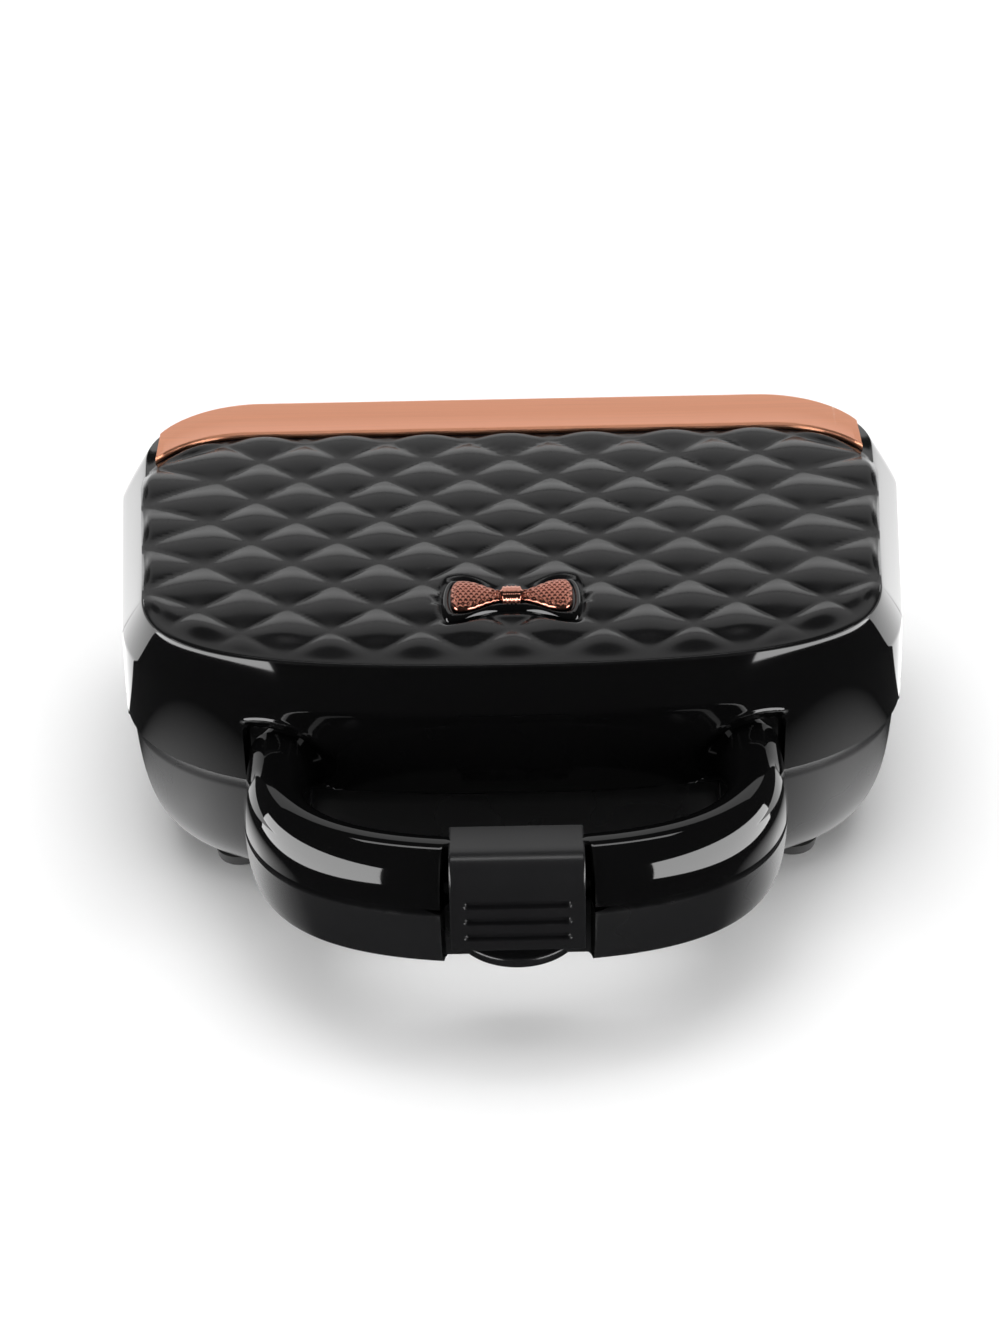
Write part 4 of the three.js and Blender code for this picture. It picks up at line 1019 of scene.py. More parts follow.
@dataclass
class BowTie:
    """Plated bow in its gloss bezel.

    Attributes:
        case: Shared outlines.
        waist: Half depth of the bow at the knot.
        mesh_pitch: Distance between the diagonal lines of its mesh, along x.
        mesh_lean: Their lean from the y axis.
    """

    case: CaseFrame
    waist: float = 2.3
    mesh_pitch: float = 1.5
    mesh_lean: float = 0.55

    def __post_init__(self) -> None:
        """Read the bow's place and size from its CAD nodes."""
        low, high = node_box("bow_emblem")
        self.half_width = (high[0] - low[0]) / 2
        self.half_depth = (high[1] - low[1]) / 2
        self.y = (high[1] + low[1]) / 2
        self.low = low[2]
        self.bezel_low = node_box("bow_bezel")[0][2]

    def depth_at(self, x: Array, border: float = 0.0) -> Array:
        """Half depth of the bow at x: from the waist it flares by a smooth rise, and its ends are rounded."""
        reach = np.abs(x) / (self.half_width + border)
        flare = self.waist + (self.half_depth - self.waist) * smooth(0.12, 0.78, reach)
        end = np.sqrt(np.clip(1.0 - np.clip((reach - 0.86) / 0.14, 0, 1) ** 2.4, 0.0, 1.0))
        return (flare + border) * np.maximum(end, 1e-3)

    def clearance(self, x: Array, y: Array) -> Array:
        """0 under the bezel, rising to 1 beyond it, to flatten the pillows there."""
        reach = np.abs(y - self.y) - self.depth_at(np.clip(x, -20.5, 20.5), 3.2)
        outside = np.maximum(reach, np.abs(x) - self.half_width - 3.0)
        return smooth(-0.5, 3.0, outside)

    def outline(self, border: float, shrink: float = 1.0) -> Array:
        """Closed outline of the bow with a border, both edges from left to right and back."""
        x = -np.cos(np.linspace(0.0, np.pi, 110)) * (self.half_width + border)
        depth = self.depth_at(x, border)
        there = np.column_stack([x, -depth])
        back = np.column_stack([x, depth])[::-1][1:-1]
        return np.concatenate([there, back]) * shrink + [0.0, self.y]

    def build_bezel(self) -> bpy.types.Object:
        """Raised rim that follows the bow, with a sunk floor inside it."""
        z = self.bezel_low - 1.6
        top = self.low + 0.15
        rings = [
            at_height(self.outline(3.0), z), at_height(self.outline(2.6), z + 1.6),
            at_height(self.outline(2.0), top - 0.5), at_height(self.outline(1.5), top - 0.08),
            at_height(self.outline(1.1), top), at_height(self.outline(0.75), top - 0.12),
            at_height(self.outline(0.5), top - 0.4), at_height(self.outline(0.45), self.low - 0.4),
            at_height(self.outline(0.3, 0.9), self.low - 0.4),
        ]
        return closed_loft("bow_seat", rings, 55.0)

    def build_wing(self, sign: int) -> bpy.types.Object:
        """One wing: a domed sheet between the knot and the flared end.

        Its height is a half-ellipse across its depth, higher towards the end, with two soft folds at the knot and a
        fine mesh of dimples between two families of diagonal lines.
        """
        rows, cols = 150, 130
        u = np.linspace(0.07, 0.995, rows)[:, None]
        v = np.linspace(-1.0, 1.0, cols)[None, :]
        x = sign * u * self.half_width * np.ones_like(v)
        depth = self.depth_at(x) - 0.12
        y = self.y + v * depth
        dome = np.sqrt(np.clip(1.0 - v**2, 0.0, 1.0)) ** 0.8
        fold = 0.22 * np.cos(3 * np.pi * v) * np.exp(-((u - 0.1) / 0.22) ** 2)
        end = np.sqrt(np.clip(1.0 - np.clip((u - 0.82) / 0.18, 0, 1) ** 2, 0.0, 1.0))
        height = (0.7 + 1.15 * smooth(0.05, 0.7, u)) * dome * end + fold * dome
        across, back = (np.sin((x + side * y * self.mesh_lean) * np.pi / self.mesh_pitch) for side in (1, -1))
        dimple = np.minimum(np.abs(across), np.abs(back))
        height = height - 0.3 * smooth(0.25, 0.85, dimple) * dome**0.5 * smooth(0.1, 0.2, u) * end
        base = self.low + 0.2
        top = np.stack([x, y, base + 0.35 + height], -1)
        bottom = np.stack([x, y, np.full_like(x, base)], -1)
        return slab(f"bow_wing_{'left' if sign < 0 else 'right'}", top, bottom, 50.0)

    def build_knot(self) -> bpy.types.Object:
        """Knot: a barrel across the waist with a soft pinch at each end and ribs round it."""
        rows, cols = 40, 64
        s = np.linspace(-1.0, 1.0, rows)
        turn = np.linspace(0.0, 2.0 * np.pi, cols, endpoint=False)
        radius = np.sqrt(np.clip(1.0 - np.abs(s) ** 5, 0.0, 1.0)) * (1.0 + 0.06 * np.cos(6 * np.pi * s))
        y = self.y + radius[:, None] * np.cos(turn) * (self.waist + 1.3)
        z = self.low + 0.7 + radius[:, None] * np.sin(turn) * 2.12
        x = np.broadcast_to((s * 3.5)[:, None], y.shape)
        return closed_loft("bow_knot", list(np.stack([x, y, z], -1)), 50.0)

    def build(self) -> None:
        """Make and dress the bow's pieces."""
        dress(self.build_bezel(), GLOSS, "piano_black", "lid", ["bow_bezel"])
        for sign in (-1, 1):
            dress(self.build_wing(sign), PLATING, "embossed_copper", "lid", ["bow_emblem"])
        dress(self.build_knot(), KNOT, "polished_copper", "lid", ["bow_emblem"])


# ------------------------------------------------------------------ handle
@dataclass
class GripLoop:
    """Loop handle split along the parting plane; the latch sits in a notch at its middle.

    Attributes:
        case: Shared outlines.
        arm: Middle of each arm from the centre plane.
        thick: Depth of the bar.
        gap: Half of the gap between the halves.
        notch: Half width of the latch notch.
        crest: Crest of the upper half from the middle line, towards the fingers.
        high: Height of the upper half.
        deep: Depth of the lower half.
        root: How far each arm runs in past the front of the case.
        root_skew: How much further in each arm's outer side runs, per width, as the wall falls back there.
    """

    case: CaseFrame
    arm: float = 65.7
    thick: float = 18.0
    gap: float = 0.8
    notch: float = 18.35
    crest: float = -0.6
    high: float = 15.9
    deep: float = 19.3
    root: float = 12.0
    root_skew: float = 0.35

    def __post_init__(self) -> None:
        """Take the bar's place from the latch pivot and its box."""
        self.bar_y = float(self.case.pivot[1] - 2.4)

    def path(self, count: int = 150) -> Array:
        """Middle line from inside the right wall to the notch: a straight arm, then a cubic bend."""
        start = np.array([self.arm, self.case.front_y + self.root])
        bend = np.array([self.arm, self.case.front_y - 5.0])
        straight = start + (bend - start) * np.linspace(0.0, 1.0, 24)[:-1, None]
        curve = bezier(bend, [self.arm, self.bar_y + 17.0], [self.arm * 0.76, self.bar_y],
                       [0.0, self.bar_y], np.linspace(0.0, 1.0, count * 3))
        line = np.concatenate([straight, curve[curve[:, 0] > self.notch], [[self.notch, self.bar_y]]])
        length = np.concatenate([[0.0], np.cumsum(np.linalg.norm(np.diff(line, axis=0), axis=1))])
        place = np.linspace(0.0, length[-1], count)
        place = np.sort(np.concatenate([place, length[-1] - np.array([0.1, 0.25, 0.45, 0.7])]))
        even = np.column_stack([np.interp(place, length, line[:, i]) for i in range(2)])
        return at_height(even, 0.0)

    def upper_section(self, share: Array) -> Array:
        """Upper half: a tall arch whose crest sits towards the inner side; flat below.

        Each side of the crest is a quarter of a superellipse, a little rounder inside than outside.
        """
        turn = np.linspace(0.0, np.pi, 45)
        crest, high = self.crest, self.high
        half = self.thick / 2
        outer = turn <= np.pi / 2
        reach = np.where(outer, half - crest, half + crest)
        power = np.where(outer, 2.3, 2.15)
        side = crest + np.sign(np.cos(turn)) * reach * np.abs(np.cos(turn)) ** (2 / power)
        up = high * np.sin(turn) ** (2 / power)
        lip = np.array([[-half + 0.5, -0.0], [half - 0.5, -0.0]])
        up = np.maximum(up, 0.35)
        section = np.concatenate([np.column_stack([side, up]), lip])
        return self._tapered(section, share, np.array([crest, 4.0]))

    def lower_section(self, share: Array) -> Array:
        """Lower half: upright outer face that turns under with a wide round; flat above."""
        turn = np.linspace(0.0, np.pi, 45)
        half = self.thick / 2
        side = np.sign(np.cos(turn)) * half * np.abs(np.cos(turn)) ** (2 / 3.4)
        up = -self.deep * np.sin(turn) ** (2 / 2.5)
        up = np.minimum(up, -0.35)
        lip = np.array([[-half + 0.5, 0.0], [half - 0.5, 0.0]])
        return self._tapered(np.concatenate([np.column_stack([side, up]), lip]), share, np.array([0.0, -6.0]))

    def _tapered(self, section: Array, share: Array, middle: Array) -> Array:
        """Repeat a section along the path and round it off over the last millimetre at the notch."""
        length = 150.0
        left = (1.0 - share) * length
        pull = 0.055 * (1.0 - np.sqrt(np.clip(1.0 - (1.0 - np.clip(left / 0.8, 0, 1)) ** 2, 0, 1)))
        return middle + (section - middle)[None] * (1.0 - pull)[:, None, None]

    def half(self, name: str, upper: bool, sign: int) -> bpy.types.Object:
        """One quarter of the loop: upper or lower, right or left."""
        rings = sweep(self.path(), self.upper_section if upper else self.lower_section)
        rings = rings + [0.0, 0.0, self.case.parting_z + (self.gap if upper else -self.gap)]
        start = self.case.front_y
        inside = smooth(start - 3.0, start + self.root, rings[..., 1].mean(-1))[:, None]
        rings[..., 1] += inside * self.root_skew * (rings[..., 0] - self.arm)
        rings[..., 0] *= sign
        return closed_loft(name, list(rings), 40.0)

    def bridge(self) -> bpy.types.Object:
        """Core of the upper grip that the latch straddles."""
        turn = np.linspace(0.0, 2.0 * np.pi, 48, endpoint=False)
        half_y, half_z = 5.0, 2.05
        y = self.bar_y + 3.9 + half_y * np.sign(np.cos(turn)) * np.abs(np.cos(turn)) ** 0.35
        z = self.case.parting_z + 2.6 + half_z * np.sign(np.sin(turn)) * np.abs(np.sin(turn)) ** 0.35
        x = np.linspace(-self.notch - 1.0, self.notch + 1.0, 8)
        rings = [np.column_stack([np.full(len(turn), at), y, z]) for at in x]
        return closed_loft("grip_bridge", rings, 50.0)

    def lower_bridge(self) -> bpy.types.Object:
        """Set-back middle of the lower grip behind the latch's skirt."""
        turn = np.linspace(0.0, 2.0 * np.pi, 56, endpoint=False)
        half_y, half_z = 5.5, 9.4
        y = self.bar_y + 3.4 + half_y * np.sign(np.cos(turn)) * np.abs(np.cos(turn)) ** 0.4
        z = self.case.parting_z - 10.4 + half_z * np.sign(np.sin(turn)) * np.abs(np.sin(turn)) ** 0.4
        x = np.linspace(-self.notch - 1.0, self.notch + 1.0, 8)
        rings = [np.column_stack([np.full(len(turn), at), y, z]) for at in x]
        return closed_loft("lower_grip_bridge", rings, 50.0)

    def finger_lip(self) -> bpy.types.Object:
        """Half-round lip under the latch, with a rounded rim."""
        turn = np.linspace(-np.pi, 0.0, 70)
        radius = 17.5
        centre_y = node_box("latch")[0][1] + 3.6 + radius
        z = self.case.parting_z - self.gap - 18.7
        rings = []
        for inset, height in ((0.5, 0.0), (0.12, 0.2), (0.0, 0.6), (0.0, 2.3), (0.15, 2.75), (0.55, 3.0)):
            arc = np.column_stack([np.cos(turn), np.sin(turn)]) * (radius - inset)
            flat = arc + [0.0, centre_y]
            rings.append(at_height(flat, z + height))
        return closed_loft("finger_lip", rings, 45.0)

    def build(self) -> None:
        """Make and dress both halves of the loop."""
        for side, sign in (("left", -1), ("right", 1)):
            dress(self.half(f"upper_grip_{side}", True, sign), GLOSS, "piano_black", "lid", ["lid_shell"])
            dress(self.half(f"lower_grip_{side}", False, sign), SATIN, "satin_black", "base", ["base_shell"])
        dress(self.bridge(), GLOSS, "piano_black", "lid")
        dress(self.lower_bridge(), SATIN, "satin_black", "base")
        dress(self.finger_lip(), LATCH, "latch_satin", "base")


@dataclass
class Latch:
    """Sprung latch over the middle of the grip, with three finger grooves in its face.

    Attributes:
        case: Shared outlines.
        skin: Thickness of the bent plate.
        shoulder: Size of the bend between top and face.
        lean: How far the face leans in at its foot.
        groove_length: Length of a groove.
        groove_height: Height of a groove.
        groove_depth: Depth of a groove.
        groove_pitch: Groove to groove.
        grooves: Number of grooves.
    """

    case: CaseFrame
    skin: float = 2.5
    shoulder: float = 7.0
    lean: float = 1.4
    groove_length: float = 28.0
    groove_height: float = 2.4
    groove_depth: float = 1.5
    groove_pitch: float = 5.6
    grooves: int = 3

    def __post_init__(self) -> None:
        """Read the latch's box."""
        self.box_low, self.box_high = node_box("latch")

    def profile(self, inset: float) -> Array:
        """Side view from the rear edge of the top, round the shoulder and down the face, as y, z rows."""
        face, top = self.box_low[1] + inset, self.box_high[2] - inset
        rear, low = self.box_high[1], self.box_low[2]
        bend = self.shoulder - inset * 0.5
        flat = np.array([[rear, top - 0.5], [face + bend + 2.0, top]])
        flat = flat[0] + (flat[1] - flat[0]) * np.linspace(0.0, 1.0, 24)[:-1, None]
        round_ = bezier([face + bend + 2.0, top], [face + bend * 0.35, top],
                        [face, top - bend * 0.45], [face, top - bend - 3.0], np.linspace(0.0, 1.0, 34))
        end = np.array([face + self.lean, low])
        drop = round_[-1] + (end - round_[-1]) * np.linspace(0.0, 1.0, 110)[1:, None]
        return np.concatenate([flat, round_, drop])

    def build_shell(self) -> bpy.types.Object:
        """The bent plate, its grooves pressed in with rounded ends and its edges rolled."""
        outer, inner = self.profile(0.0), self.profile(self.skin)
        half = self.box_high[0]
        x = np.linspace(-half, half, 150)
        top = self._spread(outer, x)
        bottom = self._spread(inner, x)
        z, across = top[..., 2], top[..., 0]
        middle = (self.case.pivot[2] + self.box_low[2]) / 2 - 1.0
        pressed = np.zeros_like(z)
        reach = self.groove_height / 2
        for i in range(self.grooves):
            level = middle + (i - (self.grooves - 1) / 2) * self.groove_pitch
            over = np.maximum(np.abs(across) - (self.groove_length - self.groove_height) / 2, 0.0)
            distance = np.hypot(over, z - level)
            pressed = np.maximum(pressed, 1.0 - smooth(reach - 0.3, reach + 0.15, distance))
        on_face = z < self.case.pivot[2]
        top[..., 1] += np.where(on_face, pressed * self.groove_depth, 0.0)
        edge = half - np.abs(x)
        roll = 0.5 * (1.0 - np.sqrt(np.clip(1.0 - (1.0 - np.clip(edge / 0.6, 0, 1)) ** 2, 0, 1)))
        inward = self._spread(inner, x) - self._spread(outer, x)
        inward /= np.linalg.norm(inward, axis=-1, keepdims=True)
        top += inward * roll[None, :, None]
        return slab("latch_shell", top, bottom, 40.0)

    def _spread(self, profile: Array, x: Array) -> Array:
        """Carry a side view across the latch's width."""
        grid = np.empty((len(profile), len(x), 3))
        grid[..., 0] = x
        grid[..., 1:] = profile[:, None, :]
        return grid

    def build_barrels(self) -> list[bpy.types.Object]:
        """Two pivot barrels under the latch's top, either side of the spring."""
        pivot = self.case.pivot
        radius, bore = 4.1, 1.75
        pieces = []
        spring, side = 5.4, self.box_high[0] - 0.2
        for name, start, end in (("left", -side, -spring), ("right", spring, side)):
            profile = [(bore, start), (radius - 0.4, start), (radius, start + 0.4), (radius, end - 0.4),
                       (radius - 0.4, end), (bore, end)]
            pieces.append(ring_turned(f"latch_barrel_{name}", profile, (0.0, pivot[1], pivot[2]), "x"))
        return pieces

    def build_hook(self) -> bpy.types.Object:
        """Bar along the inner lower edge that bites under the catch."""
        low, face = self.box_low[2], self.box_low[1]
        back = face + self.lean + self.skin
        outline = np.array([[back - 0.6, low + 0.05], [back + 1.7, low + 0.05], [back + 2.0, low + 0.4],
                            [back + 1.9, low + 2.2], [back + 0.2, low + 3.2], [back - 0.6, low + 3.2]])
        x = np.linspace(-self.box_high[0] + 1.0, self.box_high[0] - 1.0, 12)
        rings = [np.column_stack([np.full(len(outline), at), outline]) for at in x]
        return closed_loft("latch_hook", rings, 30.0)

    def build(self) -> None:
        """Make and dress the latch's pieces."""
        dress(self.build_shell(), LATCH, "latch_satin", "latch_arm", ["latch"])
        for piece in self.build_barrels():
            dress(piece, LATCH, "latch_satin", "latch_arm")
        dress(self.build_hook(), LATCH, "latch_satin", "latch_arm")


def ring_turned(name: str, profile: Sequence[tuple[float, float]], centre: Sequence[float],
                axis: str = "z", sides: int = 48) -> bpy.types.Object:
    """Turn a closed profile that stays off the axis, as a bush or a barrel does.

    Args:
        name: Name of the piece.
        profile: Pairs of radius and height; the last joins the first.
        centre: Where height 0 of the axis is.
        axis: "x", "y" or "z".
        sides: Number of chords.

    Returns:
        The new object.
    """
    pairs = np.asarray(profile, float)
    turn = np.linspace(0.0, 2.0 * np.pi, sides, endpoint=False)
    flat = np.stack([np.cos(turn), np.sin(turn)], -1)
    rings = np.concatenate([
        pairs[:, None, :1] * flat, np.broadcast_to(pairs[:, None, 1:], (len(pairs), sides, 1))
    ], -1)
    order = {"z": [0, 1, 2], "x": [2, 0, 1], "y": [1, 2, 0]}[axis]
    return hoop_loft(name, list(rings[..., order] + np.asarray(centre, float)), 30.0)


# ------------------------------------------------------------------ base
@dataclass
class BaseHousing:
    """Satin lower housing with the raised rim along its sides and rear.

    Attributes:
        case: Shared outlines.
        inset: Case outline to the tub's wall.
        wall: Wall thickness.
        lip_gap: Base edge below the parting plane.
        flange: Height of the raised rim.
    """

    case: CaseFrame
    inset: float = 1.5
    wall: float = 2.6
    lip_gap: float = 0.5
    flange: float = 8.0

    def wall_ring(self, drop: float, inset: float, floor: float = 0.0) -> Array:
        """Ring of the tub at a share of its depth; it turns under as a power of the depth."""
        case = self.case
        change = drop**4.2 * 0.8 + 0.2 * drop
        plan = case.parting.towards(case.bottom, change)
        top = case.parting_z - self.lip_gap
        z = top + (case.bottom_z + floor - top) * drop
        return at_height(case.outline(plan, self.inset + inset), z)

    def rim_ring(self, height: float, inset: float) -> Array:
        """Ring of the raised rim behind the step; in front of it the tub's own edge."""
        case = self.case
        top = case.rear_parting_z - self.lip_gap
        rear = at_height(case.outline(case.parting, inset), top - self.flange + self.flange * height)
        front_inset = self.inset + min(inset, self.wall)
        front = at_height(case.outline(case.parting, front_inset), case.parting_z - self.lip_gap)
        return case.split(front, rear)

    def build_tub(self) -> bpy.types.Object:
        """Outer wall, rim, inner wall and floor as one closed skin."""
        drops = np.concatenate([np.linspace(0.07, 0.8, 26), np.linspace(0.82, 1.0, 18)])
        outside = [self.wall_ring(t, 0.0) for t in drops[::-1]]
        edge = outside[0]
        middle = edge[:, :2].mean(0)
        shares = (0.1, 0.5, 0.9, 0.985)
        sole = [at_height(middle + (edge[:, :2] - middle) * share, self.case.bottom_z) for share in shares]
        rim = [self.rim_ring(0.0, 0.9), self.rim_ring(0.0, 0.25), self.rim_ring(0.05, 0.0),
               self.rim_ring(0.93, 0.0), self.rim_ring(0.98, 0.15), self.rim_ring(1.0, 0.5),
               self.rim_ring(1.0, self.inset + self.wall - 0.3)]
        inner_drops = np.linspace(0.05, 1.0, 14)
        inside = [self.wall_ring(t, self.wall, self.wall) for t in inner_drops]
        floor_edge = inside[-1][:, :2]
        floor_z = self.case.bottom_z + self.wall
        floor = [at_height(middle + (floor_edge - middle) * s, floor_z) for s in (0.9, 0.1)]
        return closed_loft("base_tub", [*sole, *outside, *rim, *inside, *floor], 40.0)

    def knuckles(self) -> list[bpy.types.Object]:
        """Base hinge barrels, two beside each lid barrel."""
        low, high = node_box("hinge_pin_right")
        middle, reach = (low[0] + high[0]) / 2, (high[0] - low[0]) / 2 - 4.5
        places = [(side * middle + step * reach, f"{'left' if side < 0 else 'right'}_{i}")
                  for side in (-1, 1) for i, step in enumerate((-1, 1))]
        return [hinge_barrel(f"base_hinge_{name}", self.case, x, 4.4, -1) for x, name in places]

    def build(self) -> None:
        """Make and dress the lower housing."""
        dress(self.build_tub(), SATIN, "satin_black", "base", ["base_shell"])
        for piece in self.knuckles():
            dress(piece, SATIN, "satin_black", "base")


# ------------------------------------------------------------------ plates and fittings
@dataclass
class MouldPlate:
    """Cast plate with ring moulds.

    Attributes:
        case: Shared outlines.
        node: The CAD plate.
        away: -1 when the moulds sink down and 1 when they rise.
        thick: Thickness of the plate.
        land_x: Flat land beside the moulds.
        land_y: Flat land before and behind the moulds.
        gap: Mould to mould.
        depth: Depth of a mould.
        post: Radius of the post in a mould.
        wall: Wall of the domes behind the moulds.
        steps: Circles across a ring channel.
        around: Points on each circle.
        columns: Moulds across.
        rows: Moulds front to rear.
    """

    case: CaseFrame
    node: str
    away: int
    thick: float = 3.0
    land_x: float = 9.0
    land_y: float = 5.5
    gap: float = 7.0
    depth: float = 10.0
    post: float = 8.0
    wall: float = 2.0
    steps: int = 27
    around: int = 90
    columns: int = 3
    rows: int = 2

    def moulds(self) -> tuple[Array, float]:
        """Centres of the moulds and their outer radius."""
        low, high = node_box(self.node)
        half = self.case.half_width - self.case.parting.taper - self.case.plate_inset
        pitch_x = 2 * (half - self.land_x) / self.columns
        pitch_y = (high[1] - low[1] - 2 * self.land_y) / self.rows
        xs = (np.arange(self.columns) - (self.columns - 1) / 2) * pitch_x
        ys = (low[1] + high[1]) / 2 + (np.arange(self.rows) - (self.rows - 1) / 2) * pitch_y
        centres = np.stack(np.meshgrid(xs, ys), -1).reshape(-1, 2)
        return centres, (min(pitch_x, pitch_y) - self.gap) / 2

    def sunk(self, flat: Array, wall: float) -> Array:
        """Depth of the plate's face: half an ellipse across each ring channel."""
        centres, radius = self.moulds()
        distance = np.linalg.norm(flat[..., None, :] - centres, axis=-1).min(-1)
        middle, half = (radius + self.post) / 2, (radius - self.post) / 2 + wall
        t = np.abs(distance - middle) / half
        bowl = np.sqrt(np.clip(1.0 - t**2, 0.0, 1.0))
        return (self.depth + wall) * bowl

    def cover(self) -> tuple[Array, Array, int]:
        """Triangles over the plate, with points on circles round each mould and along its edge.

        Returns:
            The points, the triangles and how many of the first points run along the edge.
        """
        centres, radius = self.moulds()
        middle, half = (radius + self.post) / 2, (radius - self.post) / 2
        across = middle - half * np.cos(np.linspace(0.0, np.pi, self.steps))
        radii = np.concatenate([self.post * np.array([0.35, 0.75]), across, [radius + self.wall]])
        turn = np.linspace(0.0, 2.0 * np.pi, self.around, endpoint=False)
        circle = np.column_stack([np.cos(turn), np.sin(turn)])
        circles = centres[:, None, None] + radii[:, None, None] * circle
        inset = self.case.plate_inset + 0.1
        edge, inner = (self.case.outline(self.case.parting, inset + more)[::2] for more in (0.0, 0.5))
        points = np.concatenate([edge, inner, centres, circles.reshape(-1, 2)])
        loop = [(i, (i + 1) % len(edge)) for i in range(len(edge))]
        made = delaunay_2d_cdt([Vector(p) for p in points.tolist()], loop, [], 1, 1e-6)
        return np.array([tuple(v) for v in made[0]]), np.array(made[2]), len(edge)

    def build(self) -> None:
        """Face and back over the same triangles, joined round the edge."""
        low, high = node_box(self.node)
        face = high[2] if self.away < 0 else low[2]
        flat, tris, rim = self.cover()
        count = len(flat)
        front = self.sunk(flat, 0.0)
        front[:rim] = 0.35
        back = np.maximum(self.sunk(flat, self.wall), self.thick)
        verts = np.concatenate([at_height(flat, face + self.away * sunk) for sunk in (front, back)])
        i = np.arange(rim)
        nxt = np.roll(i, -1)
        strip = np.column_stack([i, i + count, nxt + count, nxt])
        faces = np.concatenate([tris, tris[:, ::-1] + count])
        body = "base" if self.away < 0 else "lid"
        piece = make_piece(f"{self.node}_cast", verts, strip, faces, 50.0)
        dress(piece, NON_STICK, "non_stick", body, [self.node])


@dataclass
class PlateFrame:
    """Frame between a shell and its plate, with eased edges and a ledge under the plate.

    Attributes:
        case: Shared outlines.
        node: The CAD frame.
        away: -1 in the base and 1 in the lid.
        outer: Case outline to the frame's outer edge.
        ledge: Case outline to the ledge's inner edge.
        dome_room: Room left round the plate's domes.
    """

    case: CaseFrame
    node: str
    away: int
    outer: float = 5.2
    ledge: float = 14.4
    dome_room: float = 2.8

    def build(self) -> None:
        """Section carried round the case outline."""
        case = self.case
        low, high = node_box(self.node)
        face, back = (high[2], low[2]) if self.away < 0 else (low[2], high[2])
        inner = case.plate_inset - 0.3
        ledge_z = back - self.away * 2.0
        section = [  # inset, height
            (self.outer + 0.1, back), (self.outer, face + self.away * 0.6),
            (self.outer + 0.2, face + self.away * 0.15), (self.outer + 0.7, face),
            (inner - 0.6, face), (inner - 0.1, face + self.away * 0.2), (inner, face + self.away * 0.7),
            (inner, ledge_z), (self.ledge, ledge_z), (self.ledge, back),
        ]
        rings = [at_height(case.outline(case.parting, inset), z) for inset, z in section]
        rings = [self._clear(ring) for ring in rings]
        body = "base" if self.away < 0 else "lid"
        dress(hoop_loft(f"{self.node}_ring", rings, 35.0), FRAME, "frame_black", body, [self.node])

    def _clear(self, ring: Array) -> Array:
        """Keep the ledge out of the plate's domes at the front corners."""
        centres, radius = MouldPlate(self.case, "lower_plate", -1).moulds()
        moved = ring.copy()
        for centre in centres:
            offset = moved[:, :2] - centre
            distance = np.linalg.norm(offset, axis=1, keepdims=True)
            room = radius + self.dome_room
            moved[:, :2] = np.where(distance < room, centre + offset / distance * room, moved[:, :2])
        return moved


